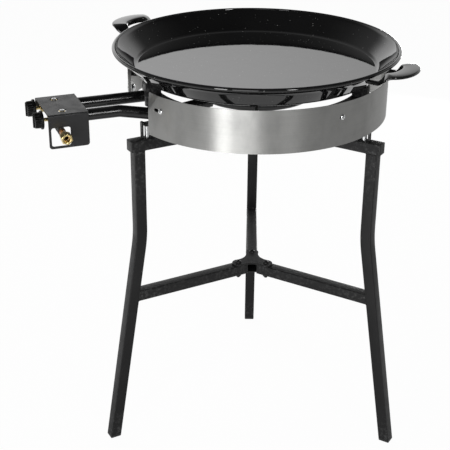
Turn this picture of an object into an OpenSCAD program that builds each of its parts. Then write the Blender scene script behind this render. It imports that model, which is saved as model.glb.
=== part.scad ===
// A two-ring gas burner for paella on a tripod stand, with its wind shield, taps and pan.
// Millimetres, +Z up. The origin is on the stand's axis at floor level.

/* [Stand] */
// Side of the square tube
tube = 20; // [18:1:24]
// Wall of the square tube
tube_wall = 1.5; // [1:0.1:2.5]
// Height of the arms' top faces
arm_top = 588; // [520:1:680]
// Distance from a locating pin to its leg's axis
leg_offset = 9; // [6:0.5:14]
// Height of the bend in a leg
bend_height = 405; // [360:1:460]
// Bend radius on a leg's centre line
bend_radius = 260; // [150:5:320]
// Splay of the lower part of a leg in degrees
splay = 9.3; // [4:0.1:14]
// Height of a foot cap
foot_height = 6; // [4:1:12]
// Length of a plug inside a tube
plug_length = 14; // [8:1:25]
// Gap between a plug and its tube
plug_gap = 0.2; // [0.1:0.05:0.5]
// Distance from the axis to the inner end of an arm
arm_inner = 110; // [80:1:150]
// Reach of an arm past its leg's outer face
arm_overhang = 4; // [1:1:10]
// Thickness of an arm cap's head
cap_head = 2; // [1:0.5:4]
// Height of the braces' centre line
brace_height = 290; // [220:1:330]
// Distance from the axis to the inner end of a brace
brace_inner = 15; // [13:1:18]

/* [Brace plate] */
// Thickness of the plate
plate_sheet = 3; // [2:0.5:5]
// Distance from the axis to a plate bolt
plate_bolt = 30; // [27:1:40]
// Radius of a plate tip
plate_tip = 12; // [10:0.5:14]
// Distance from the axis to the middle of a plate side
plate_waist = 17.5; // [15:0.5:20]
// Radius of a plate bolt's shank
bolt_shank = 3; // [2.5:0.5:4]
// Radius of a plate bolt's head
bolt_head = 5.5; // [5:0.5:7]
// Height of a plate bolt's head
bolt_head_height = 3.5; // [2:0.5:6]
// Across the flats of a plate nut
plate_nut_flats = 10; // [10:1:14]
// Height of a plate nut
plate_nut_height = 5; // [3:0.5:8]
// Bolt end past its nut
bolt_tail = 3; // [1:0.5:6]
// Gap round a bolt in its hole
bolt_gap = 0.3; // [0.3:0.1:0.6]

/* [Burner seat] */
// Gap between a locating pin and the shield
pin_clear = 4.9; // [4:0.1:7]
// Radius of a locating pin
pin_radius = 2.8; // [2:0.1:4]
// Height of a locating pin
pin_height = 30; // [20:1:32]
// Gap between a locating pin and the end of a burner foot
pin_gap = 0.4; // [0.3:0.1:1]
// Distance from a stud to the end of its foot
stud_inset = 6; // [5:0.5:8]
// Radius of a stud's shoulder
stud_radius = 4.5; // [4:0.5:5]
// Radius of a stud's spigot
stud_spigot = 3; // [2.5:0.5:3.5]
// Height of the burner feet over the arms
foot_lift = 22; // [15:1:23]
// Thickness of a burner foot
foot_plate = 4; // [3:0.5:5]
// Width of a foot's tongue
foot_tongue = 14; // [12:1:18]
// Width of a foot's cross bar
foot_bar = 16; // [12:1:20]
// Distance between the lugs of a foot
foot_span = 58; // [50:1:64]

/* [Rings] */
// Height of the rings' axis over the arms
ring_lift = 62; // [58:1:70]
// Gap between the outer ring and the shield
shield_gap = 29.7; // [27:0.1:33]
// Tube radius of the outer ring
outer_tube = 12; // [11:0.5:13]
// Distance between the two rings' centre lines
ring_spacing = 92; // [78:0.5:103]
// Tube radius of the inner ring
inner_tube = 10; // [9:0.5:12]
// Depth of the inner ring's axis under the outer ring's
inner_drop = 6; // [4:0.5:8]
// Wall of the ring tubes
ring_wall = 1.5; // [1:0.1:2.5]
// Flame ports in each row of the outer ring
outer_ports = 48; // [24:1:60]
// Flame ports in each row of the inner ring
inner_ports = 24; // [12:1:36]
// Depth of the flat on a ring's crown
crown_depth = 0.8; // [0.6:0.1:1.2]
// Radius of a flame port
port_radius = 1.1; // [0.8:0.1:1.2]
// Offset of the two rows of ports from a ring's centre line
port_row = 2; // [1.6:0.1:2.2]
// Radius of the hole through which a pipe feeds its ring
feed_radius = 5; // [3:0.5:6]
// Slant of that hole under the level, in degrees
feed_lean = 33; // [25:1:40]
// Height of a bar between the rings
bar_height = 12; // [8:1:16]
// Thickness of a bar between the rings
bar_sheet = 5; // [3:0.5:8]
// Height of the pan over the rings' axis
support_rise = 31; // [24:0.5:40]
// Lower end of a pan support under the rings' axis
support_drop = 6; // [2:0.5:7]
// Reach of a pan support past the outer ring
support_reach = 14; // [8:1:18]
// Inward reach of a pan support over the outer ring
support_inset = 14; // [8:1:18]
// Lap of a pan support under the pan's floor
support_lap = 10; // [6:1:16]
// Thickness of a pan support
support_sheet = 6; // [4:0.5:8]

/* [Pipes] */
// Direction of the pipes round the axis, in degrees
feed_azimuth = 202; // [201:0.5:203]
// Half the distance between the pipes
pipe_offset = 30; // [28:0.5:32]
// Radius of a pipe
pipe_radius = 10; // [9:0.5:10.5]
// Wall of a pipe
pipe_wall = 1.5; // [1:0.1:2.5]
// Depth of the pipes' axis under the rings' axis
pipe_drop = 9; // [7:0.5:10]
// Distance from the axis to the pipes' mouths
pipe_mouth = 338; // [334:0.5:342]
// Distance from the outer ring to the dip of the inner pipe
dip_reach = 58; // [46:1:70]
// Gap between the inner pipe and the outer ring over it
dip_gap = 2; // [1:0.5:3]
// Swell of the inner pipe's elbows
elbow_swell = 0.4; // [0.2:0.1:0.8]
// Depth of the inner pipe's end under its ring's axis
entry_drop = 4; // [2:0.5:6]
// Length of the closed pipe end past a ring's centre line
pipe_end = 4; // [2:0.5:6]
// Length of an air slot
slot_length = 12; // [8:1:16]
// Height of an air slot
slot_height = 8; // [5:0.5:10]
// Distance from a pipe's mouth to its air slot
slot_inset = 9; // [8.5:0.5:12]

/* [Control bracket] */
// Lap of the bracket over the pipes' mouths
bracket_lap = 23; // [20:1:30]
// Length of the bracket along the pipes
bracket_length = 67; // [60:1:68]
// Width of the bracket across the pipes
bracket_width = 100; // [92:1:110]
// Drop of the front flange from the top face
front_drop = 57.5; // [50:0.5:64]
// Drop of the rear flange from the top face
rear_drop = 22; // [12:1:30]
// Sheet thickness of the bracket
bracket_sheet = 1.5; // [1:0.1:2.5]
// Outer bend radius of the bracket
bracket_bend = 3; // [2.5:0.5:5]
// Corner radius of the front flange
bracket_corner = 5; // [3:0.5:8]
// Width of the frame round the window
window_frame = 4; // [3:0.5:8]
// Length of the window
window_length = 32; // [28:1:36]
// Height of the window
window_height = 32; // [28:1:34]
// Corner radius of the window
window_corner = 4; // [2:0.5:6]
// Radius of an access hole in the top
access_radius = 7; // [6.5:0.25:8]
// Gap between the bracket and the pipes, filled by the saddles
saddle_rise = 0.6; // [0.3:0.1:2]
// Depth of a saddle
saddle_depth = 4; // [3:0.5:5]
// Length of a saddle
saddle_length = 12; // [8:1:14]
// Width of a saddle
saddle_width = 12; // [10:1:14]

/* [Taps] */
// Length of a tap's nose inside its pipe
nose_length = 8; // [5:0.5:8]
// Gap round a tap's nose
nose_gap = 0.05; // [0.02:0.01:0.1]
// Radius of a tap's body
tap_radius = 9; // [8:0.5:10]
// Length of a tap's body
tap_length = 34; // [30:1:36]
// Distance from a pipe's mouth to the boss on its tap
boss_inset = 16; // [14:0.5:17]
// Radius of the boss on a tap
boss_radius = 5; // [4:0.25:5.5]
// Depth of a boss top under the bracket's top face
boss_sink = 1; // [0.5:0.25:2]
// Radius of a tap screw's head
tap_screw_head = 4; // [3:0.25:4.5]
// Height of a tap screw's head
tap_screw_height = 2.5; // [1.5:0.25:4]
// Radius of a tap screw's shank
tap_screw_shank = 2; // [1.5:0.25:2.5]
// Length of a tap screw's shank
tap_screw_length = 6; // [4:0.5:8]
// Radius of an injector
injector_radius = 4; // [3:0.25:6]
// Length of an injector
injector_length = 9; // [5:0.5:12]
// Radius of an injector's jet
injector_jet = 0.8; // [0.5:0.1:1.5]
// Across the flats of a gland nut
gland_flats = 13; // [11:0.5:16]
// Length of a gland nut
gland_length = 6; // [4:0.5:7]
// Radius of a spindle
spindle_radius = 3; // [2.5:0.25:4]
// Running gap round a spindle
spindle_gap = 0.05; // [0.02:0.01:0.1]
// Length of a spindle inside its tap
spindle_inset = 22; // [12:1:26]

/* [Gas inlet] */
// Distance from a pipe's mouth to the gas rail
rail_inset = 21; // [20:0.5:23]
// Depth of the gas rail under the pipes' axis
rail_drop = 20; // [18:0.5:22]
// Radius of the gas rail
rail_radius = 6.5; // [6:0.5:7.5]
// Wall of the gas rail
rail_wall = 1.5; // [1:0.1:2]
// Radius of the neck between a tap and the rail
neck_radius = 5; // [4:0.5:6]
// Reach of the gas rail past the pipes' axes
rail_reach = 12; // [10:0.5:15]
// Radius of the inlet tube
inlet_radius = 5; // [4:0.25:5.5]
// Wall of the inlet tube
inlet_wall = 1; // [0.8:0.1:1.5]
// Length of the inlet tube
inlet_length = 28; // [24:1:36]
// Length of the inlet tube inside the nut
inlet_seat = 6; // [4:0.5:8]
// Across the flats of the inlet nut
inlet_flats = 17; // [16:0.5:20]
// Radius of the inlet nut's threaded mouth
mouth_radius = 6; // [5.75:0.25:6.5]
// Depth of the inlet nut's mouth
mouth_depth = 10; // [8:0.5:14]

/* [Knobs] */
// Gap between a gland nut and its knob
knob_gap = 9; // [6:0.5:12]
// Radius of a knob's skirt
skirt_radius = 15.5; // [14.5:0.25:17]
// Thickness of a knob's skirt
skirt_height = 3.5; // [2:0.5:5]
// Radius of a knob's body at the skirt
knob_radius = 13.5; // [12:0.25:14]
// Radius of a knob's body at its face
knob_face = 12.8; // [11:0.2:13]
// Length of a knob
knob_length = 16; // [13:0.5:20]
// Height of the bar on a knob's face
grip_height = 2; // [1:0.5:4]
// Width of the bar on a knob's face
grip_width = 4; // [3:0.5:6]
// Length of a spindle inside its knob
knob_depth = 11; // [8:0.5:12]

/* [Wind shield] */
// Outer radius of the shield
shield_radius = 230.5; // [230:0.5:236]
// Height of the shield's lower edge over the arms
shield_lift = 20.7; // [16:0.1:24]
// Height of the shield
shield_height = 73; // [66:0.5:76]
// Sheet thickness of the shield
shield_sheet = 0.8; // [0.6:0.1:1.5]
// Direction of the shield's gap round the axis, in degrees
gap_azimuth = 196.4; // [195:0.1:198]
// Width of the shield's gap in degrees
gap_width = 46.2; // [42:0.1:50]
// Corner cut of the shield's lower ends
shield_corner = 6; // [3:0.5:12]
// Offset of the near clips from the gap's direction, in degrees
near_clip = 31; // [30:0.5:33]
// Offset of the far clips from the gap's direction, in degrees
far_clip = 110.4; // [109:0.5:112]
// Sheet thickness of a clip
clip_sheet = 2; // [1.5:0.25:3]
// Width of a clip
clip_width = 14; // [12:1:16]
// Height of a clip
clip_height = 20; // [18:1:22]
// Depth of a clip's lower edge under the rings' axis
clip_drop = 4; // [2:0.5:6]
// Height of a clip screw over the rings' axis
screw_rise = 6.5; // [6:0.5:8]
// Radius of a clip screw's shank
screw_shank = 2.5; // [2:0.25:3]
// Radius of a clip screw's head
screw_head = 4.5; // [4:0.25:5.5]
// Height of a clip screw's head
screw_head_height = 2.5; // [1.5:0.25:3.5]
// Across the flats of a clip nut
screw_nut_flats = 8; // [8:0.5:10]
// Height of a clip nut
screw_nut_height = 4; // [3:0.5:6]
// Screw end past its nut
screw_tail = 2; // [1:0.5:4]
// Gap under a nut on a curved face
seat_gap = 0.1; // [0.08:0.01:0.15]
// Offset of the end bolt from the gap's direction, in degrees
end_offset = 28.4; // [27:0.2:29.4]
// Depth of the end bolt under the rings' axis
end_drop = 25; // [22:0.5:28]
// Radius of the end bolt's shank
end_shank = 3; // [2.5:0.25:4]
// Across the flats of the end bolt's head and nut
end_flats = 11; // [10:0.5:13]
// Height of the end bolt's head and nut
end_height = 5; // [3:0.5:7]

/* [Pan] */
// Outer radius of the pan's rim
rim_radius = 250; // [244:1:256]
// Height of the rim over the pan's underside
pan_depth = 42.3; // [38:0.1:50]
// Radius of the rolled rim
rim_bead = 3.5; // [2.5:0.1:4.5]
// Sheet thickness of the pan
pan_wall = 1.5; // [1:0.1:2.5]
// Slope of the pan's side in degrees
pan_slope = 46; // [42:0.5:52]
// Radius between the pan's floor and side
pan_fillet = 14; // [8:1:20]

/* [Handles] */
// Direction of the right handle round the axis, in degrees
handle_azimuth = 328; // [326:0.5:332]
// Reach of a grip past the rim
grip_reach = 50; // [40:1:56]
// Width of a grip at its middle
grip_strip = 29; // [22:1:32]
// Half the length of a grip outside
grip_half = 52; // [46:1:74]
// Half the distance between a handle's legs inside
leg_half = 31; // [26:1:36]
// Height of a grip over the rim
grip_rise = 1; // [-2:0.5:4]
// Depth of a leg's top under the rim
leg_sink = 14; // [12:0.5:16]
// Flange depth inside a grip
inner_flange = 9; // [6:0.5:11]
// Flange depth outside a grip
outer_flange = 4; // [3:0.5:7]
// Flange depth of a leg
leg_flange = 5; // [4:0.5:6]
// Corner radius of the pressed strip
strip_corner = 2.5; // [2:0.1:3.5]
// Sheet thickness of the pressed strip
strip_sheet = 1.6; // [1.2:0.1:2]
// Crown of the grip
strip_crown = 1.5; // [0:0.1:3]
// Weld gap between a handle and the pan
weld_gap = 0.05; // [0.04:0.01:0.1]

/* [Hidden] */
$fn = 96;
// Tool overrun past a face that is cut
over = 1;
rear_azimuth = 90;
left_azimuth = 210;
right_azimuth = 330;
stand_azimuths = [rear_azimuth, left_azimuth, right_azimuth];
bar_azimuths = [30, 150, 270];
clip_azimuths = [gap_azimuth + near_clip, gap_azimuth + far_clip,
                 gap_azimuth - far_clip, gap_azimuth - near_clip];
full_turn = 360;
hex_sides = 6;
bend_steps = 12;

shield_inner = shield_radius - shield_sheet;
outer_edge = shield_inner - shield_gap;
outer_circle = outer_edge - outer_tube;
inner_circle = outer_circle - ring_spacing;
pin_circle = shield_inner - pin_clear - pin_radius;
leg_radius = pin_circle + leg_offset;
tube_bore = tube - 2 * tube_wall;
plug = tube_bore - 2 * plug_gap;
arm_bottom = arm_top - tube;
arm_outer = leg_radius + tube / 2 + arm_overhang;
bend_top = bend_height + bend_radius * tan(splay / 2);
lower_length = bend_top / cos(splay) + tube;
brace_top = brace_height + tube / 2;
brace_bottom = brace_height - tube / 2;
brace_outer = leg_radius + (bend_height - brace_height) * tan(splay);
plate_hollow = (plate_bolt * plate_bolt + plate_waist * plate_waist - plate_bolt * plate_waist
                - plate_tip * plate_tip) / (plate_bolt + 2 * plate_tip - 2 * plate_waist);

foot_bottom = arm_top + foot_lift;
foot_top = foot_bottom + foot_plate;
foot_end = pin_circle - pin_radius - pin_gap;
stud_circle = foot_end - stud_inset;
ring_height = arm_top + ring_lift;
pan_bottom = ring_height + support_rise;
inner_height = ring_height - inner_drop;

pipe_height = ring_height - pipe_drop;
pipe_bore = pipe_radius - pipe_wall;
outer_entry = sqrt(outer_circle * outer_circle - pipe_offset * pipe_offset);
inner_entry = sqrt(inner_circle * inner_circle - pipe_offset * pipe_offset);
dip_height = ring_height - outer_tube - dip_gap - pipe_radius;
dip_start = outer_edge + dip_reach;
slot_start = pipe_mouth - slot_inset - slot_length;

bracket_start = pipe_mouth - bracket_lap;
bracket_end = bracket_start + bracket_length;
bracket_bottom = pipe_height + pipe_radius + saddle_rise;
bracket_top = bracket_bottom + bracket_sheet;
window_start = bracket_end - window_frame - window_length;
window_bottom = bracket_top - front_drop + window_frame;

tap_end = pipe_mouth + tap_length;
gland_end = tap_end + gland_length;
boss_place = pipe_mouth + boss_inset;
boss_top = bracket_top - pipe_height - boss_sink;
rail_place = pipe_mouth + rail_inset;
rail_height = pipe_height - rail_drop;
rail_start = -pipe_offset - rail_reach;
rail_end = pipe_offset + rail_reach;
tube_end = rail_end + inlet_length;
nut_start = tube_end - inlet_seat;
nut_end = tube_end + mouth_depth;
knob_start = gland_end + knob_gap;
knob_end = knob_start + knob_length;

shield_bottom = arm_top + shield_lift;
shield_start = gap_azimuth + gap_width / 2;
shield_turn = full_turn - gap_width;
clip_inner = shield_inner - clip_sheet;
clip_bottom = ring_height - clip_drop;
clip_turn = 2 * atan(clip_width / 2 / shield_inner);
screw_height = ring_height + screw_rise;
end_azimuth = gap_azimuth - end_offset;
end_bolt_height = ring_height - end_drop;

rim_top = pan_bottom + pan_depth;
bead_height = rim_top - rim_bead;
bead_circle = rim_radius - rim_bead;
fillet_rise = pan_fillet * (1 - cos(pan_slope));
fillet_run = pan_fillet * sin(pan_slope);
wall_run = (bead_height - pan_bottom - fillet_rise) / tan(pan_slope);
floor_radius = bead_circle - wall_run - fillet_run;
inner_fillet = pan_fillet - pan_wall;
support_start = min(outer_edge - support_inset, floor_radius - support_lap);

grip_outer = rim_radius + grip_reach;
grip_inner = grip_outer - grip_strip;
grip_top = rim_top + grip_rise;
leg_top = rim_top - leg_sink;
handle_root = side_radius(leg_top - leg_flange) - pan_wall;
handle_sections = 20;
outer_power = 0.5;
inner_power = 0.36;
leg_strip = 9;
grip_flare = 3;
corner_part = 0.3;

// Colours of the finishes
charcoal = [0.17, 0.17, 0.18];
black = [0.06, 0.06, 0.06];
steel = [0.62, 0.62, 0.6];
zinc = [0.75, 0.75, 0.74];
brass = [0.78, 0.6, 0.25];
copper = [0.62, 0.38, 0.24];

// Radius of the pan's outside at a height on its sloping side
function side_radius(z) = bead_circle - (bead_height - z) / tan(pan_slope);

// Smooth step from 0 to 1
function ease(x) = x <= 0 ? 0 : x >= 1 ? 1 : x * x * (3 - 2 * x);

// A handle's edge in plan: u runs from -1 to 1, leg to leg
function sweep(u) = 90 * sin(90 * u);
function edge(u, reach, half, power) =
  [handle_root + (reach - handle_root) * pow(max(cos(sweep(u)), 0), power), half * sin(sweep(u))];
function inner_edge(u) = edge(u, grip_inner, leg_half, inner_power);
function outer_edge_of(u) =
  edge(u, grip_outer, leg_half + leg_strip + (grip_half - leg_half - leg_strip) * grip_part(u), outer_power);

// Share of the grip in the strip: 0 on the legs, 1 at the middle
function grip_part(u) = ease(cos(sweep(u)) * grip_flare);

// Height of the strip's top along the handle
function strip_top(u) =
  leg_top + (grip_top - leg_top)
    * ease((inner_edge(u)[0] + outer_edge_of(u)[0] - 2 * rim_radius + rim_bead)
           / (grip_inner + grip_outer - 2 * rim_radius - grip_reach / 2));

// Outline of the pressed strip across a width w, with flanges i inside and o outside
function strip(w, i, o) = [
  [0, -i], [0, -strip_corner], [strip_corner * corner_part, -strip_corner * corner_part],
  [strip_corner, 0], [w / 2, strip_crown * ease((w - leg_strip) / leg_strip)],
  [w - strip_corner, 0], [w - strip_corner * corner_part, -strip_corner * corner_part],
  [w, -strip_corner], [w, -o],
  [w - strip_sheet, -o], [w - strip_sheet, -strip_corner], [w - strip_corner, -strip_sheet],
  [w / 2, strip_crown * ease((w - leg_strip) / leg_strip) - strip_sheet],
  [strip_corner, -strip_sheet], [strip_sheet, -strip_corner], [strip_sheet, -i]];

// Triangles that close the outline at a handle's ends
strip_cap = [
  [0, 1, 14], [0, 14, 15], [1, 2, 14], [2, 13, 14], [2, 3, 13], [3, 4, 12], [3, 12, 13],
  [4, 5, 11], [4, 11, 12], [5, 6, 11], [6, 10, 11], [6, 7, 10], [7, 8, 9], [7, 9, 10]];

// One section of a handle in space
function handle_section(u) =
  let (a = inner_edge(u), b = outer_edge_of(u), w = norm(b - a), d = (b - a) / w,
       part = grip_part(u), z = strip_top(u),
       i = leg_flange + (inner_flange - leg_flange) * part,
       o = leg_flange + (outer_flange - leg_flange) * part)
  [for (p = strip(w, i, o)) [a[0] + d[0] * p[0], a[1] + d[1] * p[0], z + p[1]]];

module around(azimuths) {
  for (a = azimuths)
    rotate([0, 0, a])
      children();
}

// A rod along X
module along(x0, x1, r) {
  translate([x0, 0, 0])
    rotate([0, 90, 0])
      cylinder(r = r, h = x1 - x0);
}

// A rod between two points of the XZ plane
module rod(a, b, r) {
  translate([a[0], 0, a[1]])
    rotate([0, atan2(b[0] - a[0], b[1] - a[1]), 0])
      cylinder(r = r, h = norm(b - a));
}

// A hexagonal prism along Z with a bore
module hex(flats, height, bore) {
  difference() {
    cylinder(r = flats / sqrt(3), h = height, $fn = hex_sides);
    translate([0, 0, -over])
      cylinder(r = bore, h = height + 2 * over);
  }
}

// A rectangle with rounded corners
module rounded(width, height, r) {
  translate([r, 0])
    square([width - 2 * r, height]);
  translate([0, r])
    square([width, height - 2 * r]);
  for (x = [r, width - r], y = [r, height - r])
    translate([x, y])
      circle(r);
}

// The leg's side view for a bar of a given thickness, from the arm to below the floor
function bend_point(r, a) =
  [leg_radius + bend_radius - r * cos(a), bend_top - r * sin(a)];
function leg_outline(thickness) =
  let (near = bend_radius + thickness / 2,
       far = bend_radius - thickness / 2, drop = lower_length * [sin(splay), -cos(splay)])
  concat(
    [[leg_radius - thickness / 2, arm_bottom]],
    [for (k = [0 : bend_steps]) bend_point(near, splay * k / bend_steps)],
    [bend_point(near, splay) + drop, bend_point(far, splay) + drop],
    [for (k = [bend_steps : -1 : 0]) bend_point(far, splay * k / bend_steps)],
    [[leg_radius + thickness / 2, arm_bottom]]);

// The leg's path as a square bar
module leg_solid(side) {
  translate([0, side / 2, 0])
    rotate([90, 0, 0])
      linear_extrude(side)
        polygon(leg_outline(side));
}

// A level slab round one leg
module leg_slab(low, high) {
  translate([0, -tube, low])
    cube([2 * leg_radius, 2 * tube, high - low]);
}

module leg() {
  color(charcoal)
    intersection() {
      difference() {
        leg_solid(tube);
        leg_solid(tube_bore);
      }
      leg_slab(foot_height, arm_bottom);
    }
}

module arm() {
  color(charcoal)
    difference() {
      translate([arm_inner, -tube / 2, arm_bottom])
        cube([arm_outer - arm_inner, tube, tube]);
      translate([arm_inner - over, -tube_bore / 2, arm_bottom + tube_wall])
        cube([arm_outer - arm_inner + 2 * over, tube_bore, tube_bore]);
    }
}

// A push-in plug for a tube end, its head against the end at X = 0
module tube_plug() {
  translate([0, -tube / 2, -tube / 2])
    cube([cap_head, tube, tube]);
  translate([-plug_length, -plug / 2, -plug / 2])
    cube([plug_length, plug, plug]);
}

module arm_caps() {
  color(black)
    around(stand_azimuths) {
      translate([arm_outer, 0, arm_top - tube / 2])
        tube_plug();
      translate([arm_inner, 0, arm_top - tube / 2])
        mirror([1, 0, 0])
          tube_plug();
    }
}

module foot_caps() {
  color(black)
    around(stand_azimuths) {
      intersection() {
        leg_solid(tube);
        leg_slab(0, foot_height);
      }
      intersection() {
        leg_solid(plug);
        leg_slab(foot_height, foot_height + plug_length);
      }
    }
}

module brace() {
  color(charcoal)
    difference() {
      translate([brace_inner, -tube / 2, brace_bottom])
        cube([brace_outer - brace_inner, tube, tube]);
      translate([brace_inner - over, -tube_bore / 2, brace_bottom + tube_wall])
        cube([brace_outer - brace_inner, tube_bore, tube_bore]);
      leg_solid(tube);
      translate([plate_bolt, 0, brace_bottom - over])
        cylinder(r = bolt_shank + bolt_gap, h = tube + 2 * over);
    }
}

module plate_outline() {
  spread = plate_waist + plate_hollow;
  difference() {
    polygon([for (k = [0 : 2], s = [0, 1])
      let (a = rear_azimuth + 120 * k + 60 * s, r = s == 0 ? plate_bolt : spread)
      [r * cos(a), r * sin(a)]]);
    for (k = [0 : 2])
      rotate(rear_azimuth + 60 + 120 * k)
        translate([spread, 0])
          circle(plate_hollow);
  }
  for (a = stand_azimuths)
    rotate(a)
      translate([plate_bolt, 0])
        circle(plate_tip);
}

module brace_plate() {
  color(charcoal)
    difference() {
      translate([0, 0, brace_top])
        linear_extrude(plate_sheet)
          plate_outline();
      around(stand_azimuths)
        translate([plate_bolt, 0, brace_top - over])
          cylinder(r = bolt_shank + bolt_gap, h = plate_sheet + 2 * over);
    }
}

module brace_bolts() {
  color(charcoal)
    around(stand_azimuths)
      translate([plate_bolt, 0, 0]) {
        translate([0, 0, brace_top + plate_sheet])
          cylinder(r = bolt_head, h = bolt_head_height);
        translate([0, 0, brace_bottom - plate_nut_height - bolt_tail])
          cylinder(r = bolt_shank, h = tube + plate_sheet + plate_nut_height + bolt_tail);
      }
}

module brace_nuts() {
  color(charcoal)
    around(stand_azimuths)
      translate([plate_bolt, 0, brace_bottom - plate_nut_height])
        hex(plate_nut_flats, plate_nut_height, bolt_shank + bolt_gap);
}

module locating_pins() {
  color(black)
    around(stand_azimuths)
      translate([pin_circle, 0, arm_top])
        cylinder(r = pin_radius, h = pin_height);
}

module burner_studs() {
  color(zinc)
    around(stand_azimuths)
      translate([stud_circle, 0, arm_top]) {
        cylinder(r = stud_radius, h = foot_lift);
        cylinder(r = stud_spigot, h = foot_lift + foot_plate);
      }
}

// A round ring with a flat crown at a height, drawn in by an inset
module ring_solid(circle_radius, tube_radius, height, inset) {
  translate([0, 0, height])
    rotate_extrude()
      translate([circle_radius, 0])
        intersection() {
          circle(tube_radius - inset);
          translate([-tube_radius, -tube_radius])
            square([2 * tube_radius, 2 * tube_radius - crown_depth - inset]);
        }
}

module outer_solid(inset = 0) {
  ring_solid(outer_circle, outer_tube, ring_height, inset);
}

module inner_solid(inset = 0) {
  ring_solid(inner_circle, inner_tube, inner_height, inset);
}

module burner_feet() {
  color(black)
    around(stand_azimuths)
      difference() {
        union() {
          translate([outer_circle - foot_bar / 2, -foot_span / 2 - foot_plate, foot_bottom])
            cube([foot_bar, foot_span + 2 * foot_plate, foot_plate]);
          translate([outer_circle, -foot_tongue / 2, foot_bottom])
            cube([foot_end - outer_circle, foot_tongue, foot_plate]);
          for (y = [-foot_span / 2 - foot_plate, foot_span / 2])
            translate([outer_circle - foot_bar / 2, y, foot_bottom])
              cube([foot_bar, foot_plate, ring_height - foot_bottom]);
        }
        outer_solid();
        translate([outer_circle - foot_bar, -foot_span, ring_height - outer_tube / 2])
          cube([2 * foot_bar, 2 * foot_span, outer_tube]);
        translate([stud_circle, 0, foot_bottom - over])
          cylinder(r = stud_spigot, h = foot_plate + 2 * over);
      }
}

// The rows of flame ports of one ring
module ports(circle_radius, tube_radius, height, count) {
  for (k = [0 : count - 1], row = [-port_row, port_row])
    rotate([0, 0, (k + 0.5) * full_turn / count])
      translate([circle_radius + row, 0, height])
        cylinder(r = port_radius, h = 2 * tube_radius);
}

// The hole through which a pipe feeds its ring
module feed_port(entry, y, tube_radius, height) {
  feed()
    translate([entry, y, height])
      rotate([0, 90 + feed_lean, 0])
        cylinder(r = feed_radius, h = 2 * tube_radius);
}

module outer_ring() {
  color(black)
    difference() {
      outer_solid();
      outer_solid(ring_wall);
      ports(outer_circle, outer_tube, ring_height, outer_ports);
      feed_port(outer_entry, -pipe_offset, outer_tube, ring_height);
    }
}

module inner_ring() {
  color(black)
    difference() {
      inner_solid();
      inner_solid(ring_wall);
      ports(inner_circle, inner_tube, inner_height, inner_ports);
      feed_port(inner_entry, pipe_offset, inner_tube, inner_height);
    }
}

module ring_bars() {
  color(black)
    around(bar_azimuths)
      difference() {
        translate([inner_circle, -bar_sheet / 2, ring_height - inner_drop / 2 - bar_height / 2])
          cube([outer_circle - inner_circle, bar_sheet, bar_height]);
        outer_solid();
        inner_solid();
      }
}

module pan_support() {
  color(black)
    difference() {
      translate([support_start, -support_sheet / 2, ring_height - support_drop])
        cube([outer_edge + support_reach - support_start, support_sheet, support_rise + support_drop]);
      outer_solid();
    }
}

// The pipes' frame: X runs out along the pipes, Y to the front
module feed() {
  rotate([0, 0, feed_azimuth])
    children();
}

// The straight pipe's path as a rod from a start to the mouth
module outer_path(r, start) {
  translate([0, -pipe_offset, pipe_height])
    along(start, pipe_mouth, r);
}

// The dipped pipe's path as a rod from a start to the mouth
module inner_path(r, start) {
  bottom = [outer_entry, dip_height];
  top = [dip_start, pipe_height];
  slope = (inner_height - entry_drop - dip_height) / (outer_entry - inner_entry);
  end = [start, dip_height + slope * (outer_entry - start)];
  translate([0, pipe_offset, 0]) {
    translate([0, 0, pipe_height])
      along(dip_start, pipe_mouth, r);
    rod(bottom, top, r);
    rod(end, bottom, r);
    for (p = [bottom, top])
      translate([p[0], 0, p[1]])
        sphere(r + elbow_swell);
  }
}

// Air slots through both sides of a pipe
module air_slots(y) {
  translate([slot_start, y - 2 * pipe_radius, pipe_height - slot_height / 2])
    cube([slot_length, 4 * pipe_radius, slot_height]);
}

// The mouth of a pipe's bore, cut through its end
module open_mouth(y) {
  translate([0, y, pipe_height])
    along(pipe_mouth - over, pipe_mouth + over, pipe_bore);
}

module outer_pipe() {
  color(black)
    difference() {
      feed()
        difference() {
          outer_path(pipe_radius, outer_entry - pipe_end);
          outer_path(pipe_bore, outer_entry - pipe_end + pipe_wall);
          air_slots(-pipe_offset);
          open_mouth(-pipe_offset);
        }
      outer_solid();
    }
}

module inner_pipe() {
  color(black)
    difference() {
      feed()
        difference() {
          inner_path(pipe_radius, inner_entry - pipe_end);
          inner_path(pipe_bore, inner_entry - pipe_end + pipe_wall);
          air_slots(pipe_offset);
          open_mouth(pipe_offset);
        }
      inner_solid();
    }
}

// The bracket's cross section, Y across and Z up from its lower edge
module bracket_section(drop, inset) {
  w = bracket_width - 2 * inset;
  h = drop - inset;
  r = bracket_bend - inset;
  translate([-w / 2, 0])
    square([w, h - r]);
  translate([-w / 2 + r, 0])
    square([w - 2 * r, h]);
  for (x = [-w / 2 + r, w / 2 - r])
    translate([x, h - r])
      circle(r);
}

module control_bracket() {
  color(charcoal)
    feed()
      difference() {
        union() {
          translate([bracket_start, 0, bracket_top - rear_drop])
            rotate([90, 0, 90])
              linear_extrude(bracket_length)
                difference() {
                  bracket_section(rear_drop, 0);
                  bracket_section(rear_drop, bracket_sheet);
                }
          translate([bracket_start, bracket_width / 2, bracket_top - front_drop])
            rotate([90, 0, 0])
              linear_extrude(bracket_sheet)
                difference() {
                  rounded(bracket_length, front_drop, bracket_corner);
                  translate([0, front_drop - bracket_corner - bracket_bend])
                    square([bracket_length, bracket_corner + bracket_bend]);
                }
        }
        translate([window_start, bracket_width / 2 + over, window_bottom])
          rotate([90, 0, 0])
            linear_extrude(bracket_sheet + 2 * over)
              rounded(window_length, window_height, window_corner);
        for (y = [-pipe_offset, pipe_offset])
          translate([boss_place, y, bracket_bottom - over])
            cylinder(r = access_radius, h = bracket_sheet + 2 * over);
      }
}

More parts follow.
